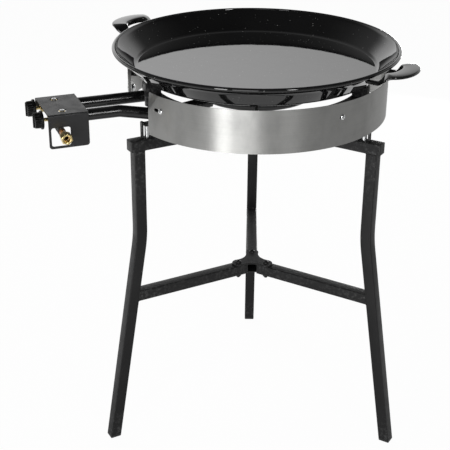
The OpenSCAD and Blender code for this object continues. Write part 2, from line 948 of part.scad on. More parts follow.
module pipe_saddles() {
  color(charcoal)
    feed()
      difference() {
        for (y = [-pipe_offset, pipe_offset])
          translate([bracket_start, y - saddle_width / 2, bracket_bottom - saddle_depth])
            cube([saddle_length, saddle_width, saddle_depth]);
        outer_path(pipe_radius, outer_entry);
        inner_path(pipe_radius, inner_entry);
      }
}

// The gas rail's outside
module rail_solid(r, start, end) {
  translate([rail_place, start, rail_height])
    rotate([-90, 0, 0])
      cylinder(r = r, h = end - start);
}

// A tap on its pipe's axis at Y = y
module tap(y) {
  color(brass)
    feed()
      difference() {
        translate([0, y, pipe_height]) {
          along(pipe_mouth - nose_length, pipe_mouth, pipe_bore - nose_gap);
          along(pipe_mouth, tap_end, tap_radius);
          translate([boss_place, 0, 0])
            cylinder(r = boss_radius, h = boss_top);
          translate([rail_place, 0, -rail_drop])
            cylinder(r = neck_radius, h = rail_drop);
        }
        rail_solid(rail_radius, rail_start, rail_end);
        translate([0, y, pipe_height]) {
          along(tap_end - spindle_inset - over, tap_end + over, spindle_radius + spindle_gap);
          translate([boss_place, 0, boss_top - tap_screw_length])
            cylinder(r = tap_screw_shank + bolt_gap, h = tap_screw_length + over);
        }
      }
}

module tap_screws() {
  color(zinc)
    feed()
      for (y = [-pipe_offset, pipe_offset])
        translate([boss_place, y, pipe_height + boss_top]) {
          cylinder(r = tap_screw_head, h = tap_screw_height);
          translate([0, 0, -tap_screw_length])
            cylinder(r = tap_screw_shank, h = tap_screw_length);
        }
}

module injectors() {
  color(brass)
    feed()
      for (y = [-pipe_offset, pipe_offset])
        translate([0, y, pipe_height])
          difference() {
            along(pipe_mouth - nose_length - injector_length, pipe_mouth - nose_length, injector_radius);
            along(pipe_mouth - nose_length - injector_length - over, pipe_mouth, injector_jet);
          }
}

module gland_nuts() {
  color(brass)
    feed()
      for (y = [-pipe_offset, pipe_offset])
        translate([tap_end, y, pipe_height])
          rotate([0, 90, 0])
            hex(gland_flats, gland_length, spindle_radius + spindle_gap);
}

module gas_rail() {
  color(charcoal)
    feed()
      difference() {
        rail_solid(rail_radius, rail_start, rail_end);
        rail_solid(rail_radius - rail_wall, rail_start + rail_wall, rail_end + over);
        for (y = [-pipe_offset, pipe_offset])
          translate([rail_place, y, rail_height])
            cylinder(r = neck_radius - rail_wall, h = rail_drop);
      }
}

module inlet_tube() {
  color(copper)
    feed()
      difference() {
        rail_solid(inlet_radius, rail_end, tube_end);
        rail_solid(inlet_radius - inlet_wall, rail_end - over, tube_end + over);
      }
}

module inlet_nut() {
  color(brass)
    feed()
      difference() {
        translate([rail_place, nut_start, rail_height])
          rotate([-90, 0, 0])
            cylinder(r = inlet_flats / sqrt(3), h = nut_end - nut_start, $fn = hex_sides);
        rail_solid(inlet_radius, nut_start - over, tube_end);
        rail_solid(mouth_radius, tube_end, nut_end + over);
      }
}

module spindle(y) {
  color(brass)
    feed()
      translate([0, y, pipe_height])
        along(tap_end - spindle_inset, knob_start + knob_depth, spindle_radius);
}

module knob(y) {
  color(black)
    feed()
      translate([0, y, pipe_height])
        difference() {
          union() {
            along(knob_start, knob_start + skirt_height, skirt_radius);
            translate([knob_start, 0, 0])
              rotate([0, 90, 0])
                cylinder(r1 = knob_radius, r2 = knob_face, h = knob_length - grip_height);
            translate([knob_end - grip_height - over, -grip_width / 2, -knob_face])
              cube([grip_height + over, grip_width, 2 * knob_face]);
          }
          along(knob_start - over, knob_start + knob_depth, spindle_radius);
          difference() {
            along(knob_end - grip_height, knob_end + over, 2 * knob_radius);
            along(knob_end - 2 * grip_height, knob_end + 2 * over, knob_face);
          }
        }
}

// The slanting cut at a lower end corner of the shield
module corner_cut() {
  translate([shield_inner - shield_corner, 0, shield_bottom])
    rotate([90, 0, 90])
      linear_extrude(2 * shield_corner)
        polygon([[-over, -over], [shield_corner + over, -over], [-over, shield_corner + over]]);
}

module wind_shield() {
  color(steel)
    difference() {
      rotate([0, 0, shield_start])
        rotate_extrude(angle = shield_turn)
          translate([shield_inner, shield_bottom])
            square([shield_sheet, shield_height]);
      rotate([0, 0, shield_start])
        corner_cut();
      rotate([0, 0, shield_start - gap_width])
        mirror([0, 1, 0])
          corner_cut();
      around(clip_azimuths)
        translate([0, 0, screw_height])
          along(clip_inner, shield_radius + over, screw_shank + bolt_gap);
      rotate([0, 0, end_azimuth])
        translate([0, 0, end_bolt_height])
          along(clip_inner, shield_radius + over, end_shank + bolt_gap);
    }
}

module shield_clips() {
  color(black)
    around(clip_azimuths)
      difference() {
        rotate([0, 0, -clip_turn / 2])
          rotate_extrude(angle = clip_turn) {
            translate([clip_inner, clip_bottom])
              square([clip_sheet, clip_height]);
            translate([outer_circle, clip_bottom])
              square([shield_inner - outer_circle, clip_sheet]);
          }
        outer_solid();
        translate([0, 0, screw_height])
          along(clip_inner - over, shield_radius, screw_shank + bolt_gap);
      }
}

module shield_screws() {
  color(zinc)
    around(clip_azimuths)
      translate([0, 0, screw_height]) {
        along(shield_radius, shield_radius + screw_head_height, screw_head);
        along(clip_inner - screw_nut_height - screw_tail, shield_radius, screw_shank);
      }
}

module shield_nuts() {
  color(zinc)
    around(clip_azimuths)
      translate([clip_inner - seat_gap - screw_nut_height, 0, screw_height])
        rotate([0, 90, 0])
          hex(screw_nut_flats, screw_nut_height, screw_shank + bolt_gap);
}

module end_bolt() {
  color(zinc)
    rotate([0, 0, end_azimuth])
      translate([0, 0, end_bolt_height]) {
        translate([shield_radius, 0, 0])
          rotate([0, 90, 0])
            cylinder(r = end_flats / sqrt(3), h = end_height, $fn = hex_sides);
        along(shield_inner - end_height - screw_tail, shield_radius, end_shank);
      }
}

module end_nut() {
  color(zinc)
    rotate([0, 0, end_azimuth])
      translate([shield_inner - seat_gap - end_height, 0, end_bolt_height])
        rotate([0, 90, 0])
          hex(end_flats, end_height, end_shank + bolt_gap);
}

module pan() {
  far = 2 * pan_fillet;
  color(black)
    rotate_extrude() {
      translate([0, pan_bottom])
        square([floor_radius, pan_wall]);
      translate([floor_radius, pan_bottom + pan_fillet])
        intersection() {
          difference() {
            circle(pan_fillet);
            circle(inner_fillet);
          }
          polygon([[0, 0], [0, -far], [far * sin(pan_slope), -far * cos(pan_slope)]]);
        }
      polygon([
        [floor_radius + fillet_run, pan_bottom + fillet_rise],
        [bead_circle, bead_height],
        [bead_circle - pan_wall * sin(pan_slope), bead_height + pan_wall * cos(pan_slope)],
        [floor_radius + inner_fillet * sin(pan_slope), pan_bottom + pan_fillet - inner_fillet * cos(pan_slope)]]);
      translate([bead_circle, bead_height])
        circle(rim_bead);
    }
}

// The pan's filled side, cut from the handles' legs
module pan_side() {
  rotate_extrude($fn = 180)
    polygon([[0, pan_bottom], [side_radius(pan_bottom) + weld_gap, pan_bottom],
             [side_radius(bead_height) + weld_gap, bead_height], [0, bead_height]]);
}

module handle() {
  last = 2 * handle_sections;
  rows = [for (k = [0 : last]) handle_section(k / handle_sections - 1)];
  n = len(rows[0]);
  points = [for (row = rows) each row];
  faces = concat(
    strip_cap,
    [for (k = [0 : last - 1], j = [0 : n - 1])
      let (a = k * n + j, b = k * n + (j + 1) % n) [a, a + n, b]],
    [for (k = [0 : last - 1], j = [0 : n - 1])
      let (a = k * n + j, b = k * n + (j + 1) % n) [b, a + n, b + n]],
    [for (t = strip_cap) [last * n + t[2], last * n + t[1], last * n + t[0]]]);
  color(black)
    difference() {
      polyhedron(points = points, faces = faces);
      pan_side();
    }
}

rotate([0, 0, left_azimuth]) leg();  // leg_left
rotate([0, 0, right_azimuth]) leg();  // leg_right
rotate([0, 0, rear_azimuth]) leg();  // leg_rear
rotate([0, 0, left_azimuth]) arm();  // arm_left
rotate([0, 0, right_azimuth]) arm();  // arm_right
rotate([0, 0, rear_azimuth]) arm();  // arm_rear
arm_caps();
foot_caps();
rotate([0, 0, left_azimuth]) brace();  // brace_left
rotate([0, 0, right_azimuth]) brace();  // brace_right
rotate([0, 0, rear_azimuth]) brace();  // brace_rear
brace_plate();
brace_bolts();
brace_nuts();
locating_pins();
burner_studs();
burner_feet();
outer_ring();
inner_ring();
ring_bars();
rotate([0, 0, left_azimuth]) pan_support();  // support_left
rotate([0, 0, right_azimuth]) pan_support();  // support_right
rotate([0, 0, rear_azimuth]) pan_support();  // support_rear
outer_pipe();
inner_pipe();
control_bracket();
pipe_saddles();
tap(-pipe_offset);  // tap_outer
tap(pipe_offset);  // tap_inner
injectors();
gland_nuts();
tap_screws();
gas_rail();
inlet_tube();
inlet_nut();
spindle(-pipe_offset);  // spindle_outer
spindle(pipe_offset);  // spindle_inner
knob(-pipe_offset);  // knob_outer
knob(pipe_offset);  // knob_inner
wind_shield();
shield_clips();
shield_screws();
shield_nuts();
end_bolt();
end_nut();
pan();
rotate([0, 0, handle_azimuth - 180]) handle();  // handle_left
rotate([0, 0, handle_azimuth]) handle();  // handle_right
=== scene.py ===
"""Looks of a two-ring paella burner on its tripod stand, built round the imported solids."""
from math import atan2, copysign, cos, degrees, hypot, pi, radians, sin, sqrt, tan

import bmesh
import bpy
from mathutils import Matrix, Vector


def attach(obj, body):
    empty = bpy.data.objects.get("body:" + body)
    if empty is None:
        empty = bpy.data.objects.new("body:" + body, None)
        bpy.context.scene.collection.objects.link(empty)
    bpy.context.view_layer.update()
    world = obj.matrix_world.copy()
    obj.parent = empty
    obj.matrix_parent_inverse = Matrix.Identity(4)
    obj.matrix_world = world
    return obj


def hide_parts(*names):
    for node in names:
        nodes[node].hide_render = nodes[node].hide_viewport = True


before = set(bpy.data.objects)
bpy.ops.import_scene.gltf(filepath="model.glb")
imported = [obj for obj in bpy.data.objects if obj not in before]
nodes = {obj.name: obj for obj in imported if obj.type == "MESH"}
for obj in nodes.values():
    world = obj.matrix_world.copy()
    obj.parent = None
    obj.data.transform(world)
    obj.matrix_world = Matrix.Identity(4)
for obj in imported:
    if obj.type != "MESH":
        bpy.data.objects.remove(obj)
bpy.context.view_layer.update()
scene = bpy.context.scene

# Sizes in millimetres, most of them as in the solids
MM = 0.001

# Stand
TUBE = 20.0
TUBE_WALL = 1.5
CORNER = 1.7
ARM_TOP = 588.0
ARM_MID = ARM_TOP - TUBE / 2
ARM_BOTTOM = ARM_TOP - TUBE
ARM_INNER = 110.0
ARM_OUTER = 245.0
CAP_HEAD = 2.0
LEG_RADIUS = 231.0
BEND_HEIGHT = 405.0
BEND_RADIUS = 260.0
SPLAY = radians(9.3)
BEND_TOP = BEND_HEIGHT + BEND_RADIUS * tan(SPLAY / 2)
FOOT_HEIGHT = 6.0
BRACE_HEIGHT = 290.0
BRACE_TOP = BRACE_HEIGHT + TUBE / 2
BRACE_BOTTOM = BRACE_HEIGHT - TUBE / 2
BRACE_INNER = 15.0
REAR_BRACE_INNER = -11.5
PLATE_SHEET = 3.0
PLATE_BOLT = 30.0
PLATE_TIP = 12.0
PLATE_WAIST = 17.5
PIN_CIRCLE = 222.0
PIN_HEIGHT = 30.0
PIN_RADIUS = 2.8
LEGS = {"rear": 90, "left": 210, "right": 330}

# Burner and controls
STUD_CIRCLE = 212.8
RING_HEIGHT = 650.0
OUTER_CIRCLE = 188.0
OUTER_TUBE = 12.0
INNER_CIRCLE = 96.0
INNER_TUBE = 10.0
INNER_HEIGHT = 644.0
BAR_AZIMUTHS = (30, 150, 270)
FEED_AZIMUTH = 202
PIPE_HEIGHT = 641.0
PIPE_OFFSET = 30.0
PIPE_RADIUS = 10.0
PIPE_BORE = 8.5
PIPE_MOUTH = 338.0
TAP_SCREW_PLACE = 354.0
TAP_SCREW_SEAT = PIPE_HEIGHT + 11.1
GLAND_PLACE = 372.0
KNOB_START = 387.0
RAIL_PLACE = 359.0
RAIL_HEIGHT = 621.0
INLET_START = 64.0
INLET_LENGTH = 16.0
INLET_FLATS = 17.0

# Wind shield
SHIELD_RADIUS = 230.5
SHIELD_SHEET = 0.8
SHIELD_BOTTOM = 608.7
SHIELD_HEIGHT = 73.0
GAP_AZIMUTH = 196.4
GAP_WIDTH = 46.2
CLIPS = [GAP_AZIMUTH + d for d in (31.0, 110.4, -110.4, -31.0)]
SCREW_HEIGHT = 656.5
END_AZIMUTH = 168.0
END_HEIGHT = 625.0

# Pan and handles
PAN_BOTTOM = 681.0
PAN_DEPTH = 42.3
PAN_WALL = 1.5
PAN_SLOPE = radians(46)
PAN_FILLET = 14.0
FLOOR_DISH = 3.6
RIM_RADIUS = 250.0
RIM_BEAD = 3.5
RIM_TOP = PAN_BOTTOM + PAN_DEPTH
BEAD_HEIGHT = RIM_TOP - RIM_BEAD
BEAD_CIRCLE = RIM_RADIUS - RIM_BEAD
HANDLE_AZIMUTH = 328.0
GRIP_REACH = 50.0
GRIP_WIDTH = 29.0
GRIP_OUTER = RIM_RADIUS + GRIP_REACH
GRIP_INNER = GRIP_OUTER - GRIP_WIDTH
GRIP_TOP = RIM_TOP + 1
GRIP_HALF = 52.0
GRIP_FLARE = 3.0
LEG_TOP = RIM_TOP - 14
LEG_STRIP = 9.0
LEG_HALF = 31.0
HANDLE_SHEET = 1.6
HANDLE_FOLD = 2.2
HANDLE_FLANGE = 5.0


# Mesh tools

FULL_TURN = 2 * pi
QUARTER = pi / 2
SHARP_ANGLE = 38
WELD_SHARP_ANGLE = 60
MERGE_DISTANCE = 1e-7


class Shape:
    """Vertices and faces that become one mesh."""

    def __init__(self):
        self.verts = []
        self.faces = []

    def add(self, part, place=None):
        verts, faces = part
        base = len(self.verts)
        self.verts += [place @ Vector(v) if place else Vector(v) for v in verts]
        self.faces += [tuple(base + i for i in f) for f in faces]
        return self


def turn(azimuth):
    return Matrix.Rotation(radians(azimuth), 4, "Z")


def shift(x, y, z):
    return Matrix.Translation((x, y, z))


# From a part drawn along Z to one along X, one along Y, and the frame of the feed pipes
OUTWARD = Matrix.Rotation(radians(90), 4, "Y")
FORWARD = Matrix.Rotation(radians(-90), 4, "X")
FEED = turn(FEED_AZIMUTH)


def arc(first, sweep, steps):
    """Angles evenly spread over a sweep, both ends included."""
    return [first + sweep * k / steps for k in range(steps + 1)]


def circle(steps):
    """Angles evenly spread round a full turn."""
    return arc(0, FULL_TURN, steps)[:-1]


def polar(radius, angle, z):
    return (radius * cos(angle), radius * sin(angle), z)


def finish_mesh(name, shape, sharp):
    mesh = bpy.data.meshes.new(name)
    mesh.from_pydata([v * MM for v in shape.verts], [], shape.faces)
    bm = bmesh.new()
    bm.from_mesh(mesh)
    bmesh.ops.remove_doubles(bm, verts=bm.verts, dist=MERGE_DISTANCE)
    bmesh.ops.recalc_face_normals(bm, faces=bm.faces)
    for face in bm.faces:
        face.smooth = True
    bm.to_mesh(mesh)
    bm.free()
    mesh.set_sharp_from_angle(angle=radians(sharp))
    return mesh


def make(name, shape, material, body, replaced=(), sharp=SHARP_ANGLE):
    """One piece of the looks, riding on a body."""
    mesh = finish_mesh(name, shape, sharp)
    mesh.materials.append(material)
    piece = bpy.data.objects.new(name, mesh)
    scene.collection.objects.link(piece)
    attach(piece, body)
    if replaced:
        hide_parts(*replaced)
    return piece


def scratch_object(name, part):
    thing = bpy.data.objects.new(name, finish_mesh(name, Shape().add(part), SHARP_ANGLE))
    scene.collection.objects.link(thing)
    return thing


def carve(part, cutters):
    """The part less its cutters, as vertices and faces."""
    base = scratch_object("carve_base", part)
    tools = []
    for cutter in cutters:
        tool = scratch_object("carve_tool", cutter)
        tools.append(tool)
        cut = base.modifiers.new("cut", "BOOLEAN")
        cut.operation = "DIFFERENCE"
        cut.solver = "EXACT"
        cut.object = tool
    bpy.context.view_layer.update()
    whole = base.evaluated_get(bpy.context.evaluated_depsgraph_get())
    mesh = whole.to_mesh()
    verts = [v.co / MM for v in mesh.vertices]
    faces = [tuple(p.vertices) for p in mesh.polygons]
    whole.to_mesh_clear()
    for thing in [base] + tools:
        data = thing.data
        bpy.data.objects.remove(thing)
        bpy.data.meshes.remove(data)
    return verts, faces


def loft(rings, caps=True, loop=False):
    """Faces over rings of points, each ring closed."""
    n = len(rings[0])
    count = len(rings)
    verts = [p for ring in rings for p in ring]
    faces = []
    for j in range(count if loop else count - 1):
        a = j * n
        b = (j + 1) % count * n
        for k in range(n):
            m = (k + 1) % n
            faces.append((a + k, a + m, b + m, b + k))
    if caps and not loop:
        faces.append(tuple(reversed(range(n))))
        faces.append(tuple((count - 1) * n + k for k in range(n)))
    return verts, faces


def revolve(profile, steps=48, closed=False):
    """A profile of (radius, height) turned about Z; a radius may be a function of the angle."""
    verts = []
    faces = []
    rows = []
    for radius, height in profile:
        first = len(verts)
        if not callable(radius) and radius < 1e-6:
            verts.append((0.0, 0.0, height))
            rows.append([first])
            continue
        for a in circle(steps):
            verts.append(polar(radius(a) if callable(radius) else radius, a, height))
        rows.append(list(range(first, first + steps)))
    pairs = list(zip(rows, rows[1:]))
    if closed:
        pairs.append((rows[-1], rows[0]))
    for a, b in pairs:
        if len(a) == 1 and len(b) == 1:
            continue
        for k in range(steps):
            m = (k + 1) % steps
            if len(a) == 1:
                faces.append((a[0], b[k], b[m]))
            elif len(b) == 1:
                faces.append((a[k], a[m], b[0]))
            else:
                faces.append((a[k], a[m], b[m], b[k]))
    return verts, faces


def rounded_square(side, radius, steps=4):
    half = side / 2 - radius
    points = []
    for k, (x, y) in enumerate(((half, half), (-half, half), (-half, -half), (half, -half))):
        for a in arc(QUARTER * k, QUARTER, steps):
            points.append((x + radius * cos(a), y + radius * sin(a)))
    return points


def inset_square(inset):
    """The stand tube's section, drawn in by an inset."""
    least_corner = 0.5
    return rounded_square(TUBE - 2 * inset, max(CORNER - inset, least_corner))


def box(x0, x1, y0, y1, z0, z1):
    verts = [(x, y, z) for z in (z0, z1) for x, y in ((x0, y0), (x1, y0), (x1, y1), (x0, y1))]
    faces = [(3, 2, 1, 0), (4, 5, 6, 7)]
    faces += [(k, (k + 1) % 4, 4 + (k + 1) % 4, 4 + k) for k in range(4)]
    return verts, faces


def offset(outline, distance):
    """An anticlockwise outline moved outward by a distance."""
    n = len(outline)
    points = []
    for k, (x, y) in enumerate(outline):
        x0, y0 = outline[k - 1]
        x1, y1 = outline[(k + 1) % n]
        length = hypot(x1 - x0, y1 - y0)
        points.append((x + distance * (y1 - y0) / length, y - distance * (x1 - x0) / length))
    return points


def slab(outline, low, high, bevel):
    """A plate of an outline, drawn anticlockwise, with broken edges."""
    rings = []
    for z, d in ((low, -bevel), (low + bevel, 0), (high - bevel, 0), (high, -bevel)):
        rings.append([(x, y, z) for x, y in offset(outline, d)])
    return loft(rings)


def hexagon(flats, limit=None):
    """Radius of a hexagon at an angle, turned down to a limit."""
    def radius(a):
        a = (a + pi / 6) % (pi / 3) - pi / 6
        r = flats / 2 / cos(a)
        return r if limit is None else min(r, limit)
    return radius


def chamfer_rows(flats, low, high, both=True):
    """Profile of a hexagon's outside with turned corners."""
    face_share = 0.97
    slope = 0.55
    face = flats / 2 * face_share
    tip = flats / sqrt(3)
    rise = (tip - face) * slope
    rows = []
    for k in range(4):
        rows.append((hexagon(flats, face + (tip - face) * k / 3), rise * k / 3))
    first = [(r, low + z) for r, z in rows] if both else [(hexagon(flats), low)]
    return first + [(r, high - z) for r, z in reversed(rows)]


def nut(flats, height, bore, pitch=0.8):
    """A hexagon nut along Z with a threaded bore."""
    mouth = 0.5
    depth = 0.35
    lead = 0.4
    inside = [(bore + mouth, height)]
    turns = int(height / pitch * 2)
    for k in range(turns):
        inside.append((bore if k % 2 else bore - depth,
                       height - lead - (height - 2 * lead) * k / max(turns - 1, 1)))
    inside.append((bore + mouth, 0))
    return revolve(chamfer_rows(flats, 0, height) + inside, 48, True)


def thread(radius, low, high, pitch=0.8, depth=0.3):
    """A threaded bar along Z with a turned end at its low side."""
    steps = 24
    lead = 0.4
    tip = radius - 2.5 * depth
    count = max(int((high - low) / pitch * 4), 2)
    rings = [[polar(tip, a, low) for a in circle(steps)]]
    for j in range(count + 1):
        z = low + lead + (high - low - lead) * j / count
        ring = []
        for k, a in enumerate(circle(steps)):
            phase = (z / pitch - k / steps) % 1
            ring.append(polar(radius - depth * 2 * abs(phase - 0.5), a, z))
        rings.append(ring)
    return loft(rings)


def cross_head(radius, height, side=0.3):
    """A domed screw head along Z, straight up to its side's height, with a cross recess."""
    foot_edge = 0.25
    shoulder = side + 0.2
    swell = 0.12
    fall = 2.2
    dome = [(0, 0), (radius - foot_edge, 0), (radius, side)]
    for a in arc(0, QUARTER, 6)[:-1]:
        share = 1 - swell * (1 - cos(a)) - (1 - swell) * sin(a) ** fall
        dome.append((radius * share, shoulder + (height - shoulder) * sin(a)))
    dome.append((0, height))
    arm = radius * 0.52
    half = radius * 0.13
    deep = height * 0.45
    return carve(revolve(dome, 40), [box(-arm, arm, -half, half, deep, height + 1),
                                     box(-half, half, -arm, arm, deep, height + 1)])


def bead(path, radius, closed=False):
    """A weld bead of scales along a path of points."""
    spacing = 0.8
    scale_length = 2.4
    sides = 8
    aside = Vector((0.31, 0.42, 0.85))
    points = [Vector(p) for p in path]
    if closed:
        points.append(points[0])
    fine = []
    for a, b in zip(points, points[1:]):
        count = max(int((b - a).length / spacing), 1)
        fine += [a.lerp(b, k / count) for k in range(count)]
    if not closed:
        fine.append(points[-1])
    rings = []
    run = 0.0
    n = len(fine)
    for k, p in enumerate(fine):
        before = fine[k - 1] if k or closed else p
        after = fine[(k + 1) % n] if k < n - 1 or closed else p
        along = (after - before).normalized()
        side = along.cross(aside).normalized()
        up = along.cross(side)
        run += (p - fine[k - 1]).length if k else 0
        scale = 0.86 + 0.16 * abs(sin(pi * run / scale_length)) + 0.05 * sin(run * 1.7)
        if not closed:
            scale *= min(1.0, 0.45 + 0.3 * min(k, n - 1 - k))
        rings.append([p + (side * cos(a) + up * sin(a)) * radius * scale for a in circle(sides)])
    return loft(rings, not closed, closed)


# Material tools

def start(name):
    material = bpy.data.materials.new(name)
    material.use_nodes = True
    tree = material.node_tree
    return material, tree, tree.nodes["Principled BSDF"]


def set_inputs(node, inputs):
    """Links or plain values for a node's inputs."""
    for key, value in inputs.items():
        if isinstance(value, bpy.types.NodeSocket):
            node.id_data.links.new(value, node.inputs[key])
        else:
            node.inputs[key].default_value = value


def add(tree, kind, inputs=None, **settings):
    node = tree.nodes.new(kind)
    for key, value in settings.items():
        setattr(node, key, value)
    set_inputs(node, inputs or {})
    return node


def place_of(tree):
    return add(tree, "ShaderNodeTexCoord").outputs["Object"]


def noise(tree, vector, scale, detail=3.0, rough=0.5):
    inputs = {"Vector": vector, "Scale": scale, "Detail": detail, "Roughness": rough}
    return add(tree, "ShaderNodeTexNoise", inputs).outputs["Fac"]


def spread(tree, value, low, high, to_low, to_high, smooth=False):
    """A value from one range carried over to another."""
    inputs = {"Value": value, "From Min": low, "From Max": high, "To Min": to_low, "To Max": to_high}
    kind = "SMOOTHSTEP" if smooth else "LINEAR"
    return add(tree, "ShaderNodeMapRange", inputs, interpolation_type=kind).outputs["Result"]


def math_node(tree, operation, a, b):
    return add(tree, "ShaderNodeMath", {0: a, 1: b}, operation=operation).outputs[0]


def vector_math(tree, operation, inputs):
    return add(tree, "ShaderNodeVectorMath", inputs, operation=operation)


def stretched(tree, vector, scale):
    return vector_math(tree, "MULTIPLY", {0: vector, 1: scale}).outputs[0]


def blend(tree, factor, a, b):
    """A colour between two, by a factor."""
    a, b = (c if isinstance(c, bpy.types.NodeSocket) else (*c, 1) for c in (a, b))
    # A mix node's colours are its inputs 6 and 7 and its output 2
    return add(tree, "ShaderNodeMix", {0: factor, 6: a, 7: b}, data_type="RGBA").outputs[2]


def bump(tree, height, strength, distance, normal=None):
    inputs = {"Height": height, "Strength": strength, "Distance": distance}
    if normal:
        inputs["Normal"] = normal
    return add(tree, "ShaderNodeBump", inputs).outputs["Normal"]


def varied(tree, texture, low, high):
    """A noise's usual range carried over to the one between two values."""
    return spread(tree, texture, 0.3, 0.7, low, high)


# Materials

def paint(name, dark, light, rough, peel, specular, worn):
    """Sprayed paint: uneven tone, orange peel, and scuffed edges."""
    bare = (0.16, 0.16, 0.16)
    material, tree, bsdf = start(name)
    place = place_of(tree)
    tone = varied(tree, noise(tree, place, 11, 4), 0, 1)
    colour = blend(tree, tone, dark, light)
    edge = add(tree, "ShaderNodeNewGeometry").outputs["Pointiness"]
    scuff = math_node(tree, "MULTIPLY", spread(tree, edge, 0.53, 0.6, 0, 1),
                      spread(tree, noise(tree, place, 160, 6, 0.7), 0.5, 0.62, 0, 1))
    colour = blend(tree, math_node(tree, "MULTIPLY", scuff, worn), colour, bare)
    set_inputs(bsdf, {
        "Base Color": colour,
        "Roughness": varied(tree, noise(tree, place, 55, 4), rough - 0.05, rough + 0.07),
        "Normal": bump(tree, noise(tree, place, 420, 2, 0.6), peel, 0.0004),
        "Specular IOR Level": specular,
    })
    return material


def plastic(name, dark, light, rough, specular=0.5):
    """Moulded plastic with a fine grain."""
    material, tree, bsdf = start(name)
    place = place_of(tree)
    set_inputs(bsdf, {
        "Base Color": blend(tree, noise(tree, place, 35, 4), dark, light),
        "Roughness": varied(tree, noise(tree, place, 240, 3), rough - 0.06, rough + 0.06),
        "Normal": bump(tree, noise(tree, place, 1500, 2), 0.12, 0.0002),
        "Specular IOR Level": specular,
    })
    return material


def metal(name, base, tarnish, rough, share):
    """Bare or plated metal with a fine grain and a film of tarnish."""
    material, tree, bsdf = start(name)
    place = place_of(tree)
    film = spread(tree, noise(tree, place, 130, 5, 0.65), 0.42, 0.75, 0, share)
    set_inputs(bsdf, {
        "Base Color": blend(tree, film, base, tarnish),
        "Metallic": 1,
        "Roughness": varied(tree, noise(tree, place, 300, 4), rough - 0.06, rough + 0.1),
        "Normal": bump(tree, noise(tree, place, 1700, 3), 0.1, 0.0001),
    })
    return material


def brushed_steel(name):
    """Stainless sheet brushed along its length, with faint smears and a pale haze."""
    dark, light = (0.375, 0.375, 0.366), (0.475, 0.475, 0.462)
    smeared, hazed = (0.29, 0.29, 0.285), (0.55, 0.55, 0.54)
    material, tree, bsdf = start(name)
    sheet = add(tree, "ShaderNodeTexCoord").outputs["UV"]
    place = place_of(tree)
    streak = noise(tree, stretched(tree, sheet, (7, 2600, 1)), 1, 4, 0.6)
    broad = noise(tree, stretched(tree, sheet, (3, 420, 1)), 1, 3, 0.6)
    smear = noise(tree, stretched(tree, place, (1, 1, 0.6)), 24, 6, 0.62)
    haze = noise(tree, stretched(tree, place, (1, 1, 0.5)), 9, 5, 0.6)
    tone = blend(tree, spread(tree, streak, 0.25, 0.75, 0, 1), dark, light)
    tone = blend(tree, spread(tree, smear, 0.47, 0.7, 0, 0.5), tone, smeared)
    tone = blend(tree, spread(tree, haze, 0.48, 0.7, 0, 0.45), tone, hazed)
    mixed = math_node(tree, "ADD", math_node(tree, "MULTIPLY", broad, 0.12),
                      math_node(tree, "MULTIPLY", smear, 0.1))
    set_inputs(bsdf, {
        "Base Color": tone,
        "Metallic": 1,
        "Roughness": spread(tree, mixed, 0, 0.22, 0.3, 0.44),
        "Anisotropic": 0.75,
        "Anisotropic Rotation": 0.25,
        "Tangent": add(tree, "ShaderNodeTangent", direction_type="RADIAL", axis="Z").outputs[0],
        "Normal": bump(tree, streak, 0.05, 0.0001),
    })
    return material


def enamel(name):
    """Black vitreous enamel with sparse pale specks and a slow ripple."""
    dark, light = (0.0055, 0.0055, 0.0058), (0.0105, 0.0105, 0.0108)
    pale = (0.55, 0.55, 0.53)
    material, tree, bsdf = start(name)
    place = place_of(tree)
    cells = add(tree, "ShaderNodeTexVoronoi", {"Vector": place, "Scale": 210.0, "Randomness": 1.0})
    chance = add(tree, "ShaderNodeSeparateColor", {"Color": cells.outputs["Color"]})
    size = spread(tree, chance.outputs["Red"], 0.62, 1.0, 0.0, 0.2)
    speck = math_node(tree, "LESS_THAN", cells.outputs["Distance"], size)
    faint = math_node(tree, "MULTIPLY", speck, spread(tree, chance.outputs["Green"], 0, 1, 0.03, 0.55))
    ground = blend(tree, noise(tree, place, 18, 4), dark, light)
    ripple = bump(tree, noise(tree, place, 30, 2), 0.012, 0.004)
    set_inputs(bsdf, {
        "Base Color": blend(tree, faint, ground, pale),
        "Roughness": varied(tree, noise(tree, place, 45, 4), 0.02, 0.045),
        "Normal": bump(tree, noise(tree, place, 320, 2), 0.012, 0.0005, ripple),
        "IOR": 1.52,
    })
    return material


STAND_PAINT = paint("stand_paint", dark=(0.0095, 0.0095, 0.0098), light=(0.0145, 0.0145, 0.0148),
                    rough=0.40, peel=0.08, specular=0.27, worn=0.5)
BRACKET_PAINT = paint("bracket_paint", dark=(0.017, 0.017, 0.018), light=(0.024, 0.024, 0.025),
                      rough=0.40, peel=0.1, specular=0.4, worn=0.5)
BURNER_BLACK = paint("burner_black", dark=(0.008, 0.008, 0.0085), light=(0.013, 0.013, 0.0135),
                     rough=0.30, peel=0.16, specular=0.5, worn=0.35)
PIPE_BLACK = paint("pipe_black", dark=(0.006, 0.006, 0.0063), light=(0.009, 0.009, 0.0094),
                   rough=0.19, peel=0.03, specular=0.5, worn=0.3)
CAP_PLASTIC = plastic("cap_plastic", dark=(0.012, 0.012, 0.012), light=(0.018, 0.018, 0.018), rough=0.46)
KNOB_PLASTIC = plastic("knob_plastic", dark=(0.003, 0.003, 0.003), light=(0.0045, 0.0045, 0.0045),
                       rough=0.3, specular=0.14)
MARK_PAINT = plastic("mark_paint", dark=(0.62, 0.62, 0.60), light=(0.72, 0.72, 0.70), rough=0.5)
ZINC = metal("zinc", base=(0.80, 0.81, 0.82), tarnish=(0.58, 0.58, 0.56), rough=0.2, share=0.4)
BRASS = metal("brass", base=(0.76, 0.61, 0.29), tarnish=(0.42, 0.30, 0.12), rough=0.2, share=0.5)
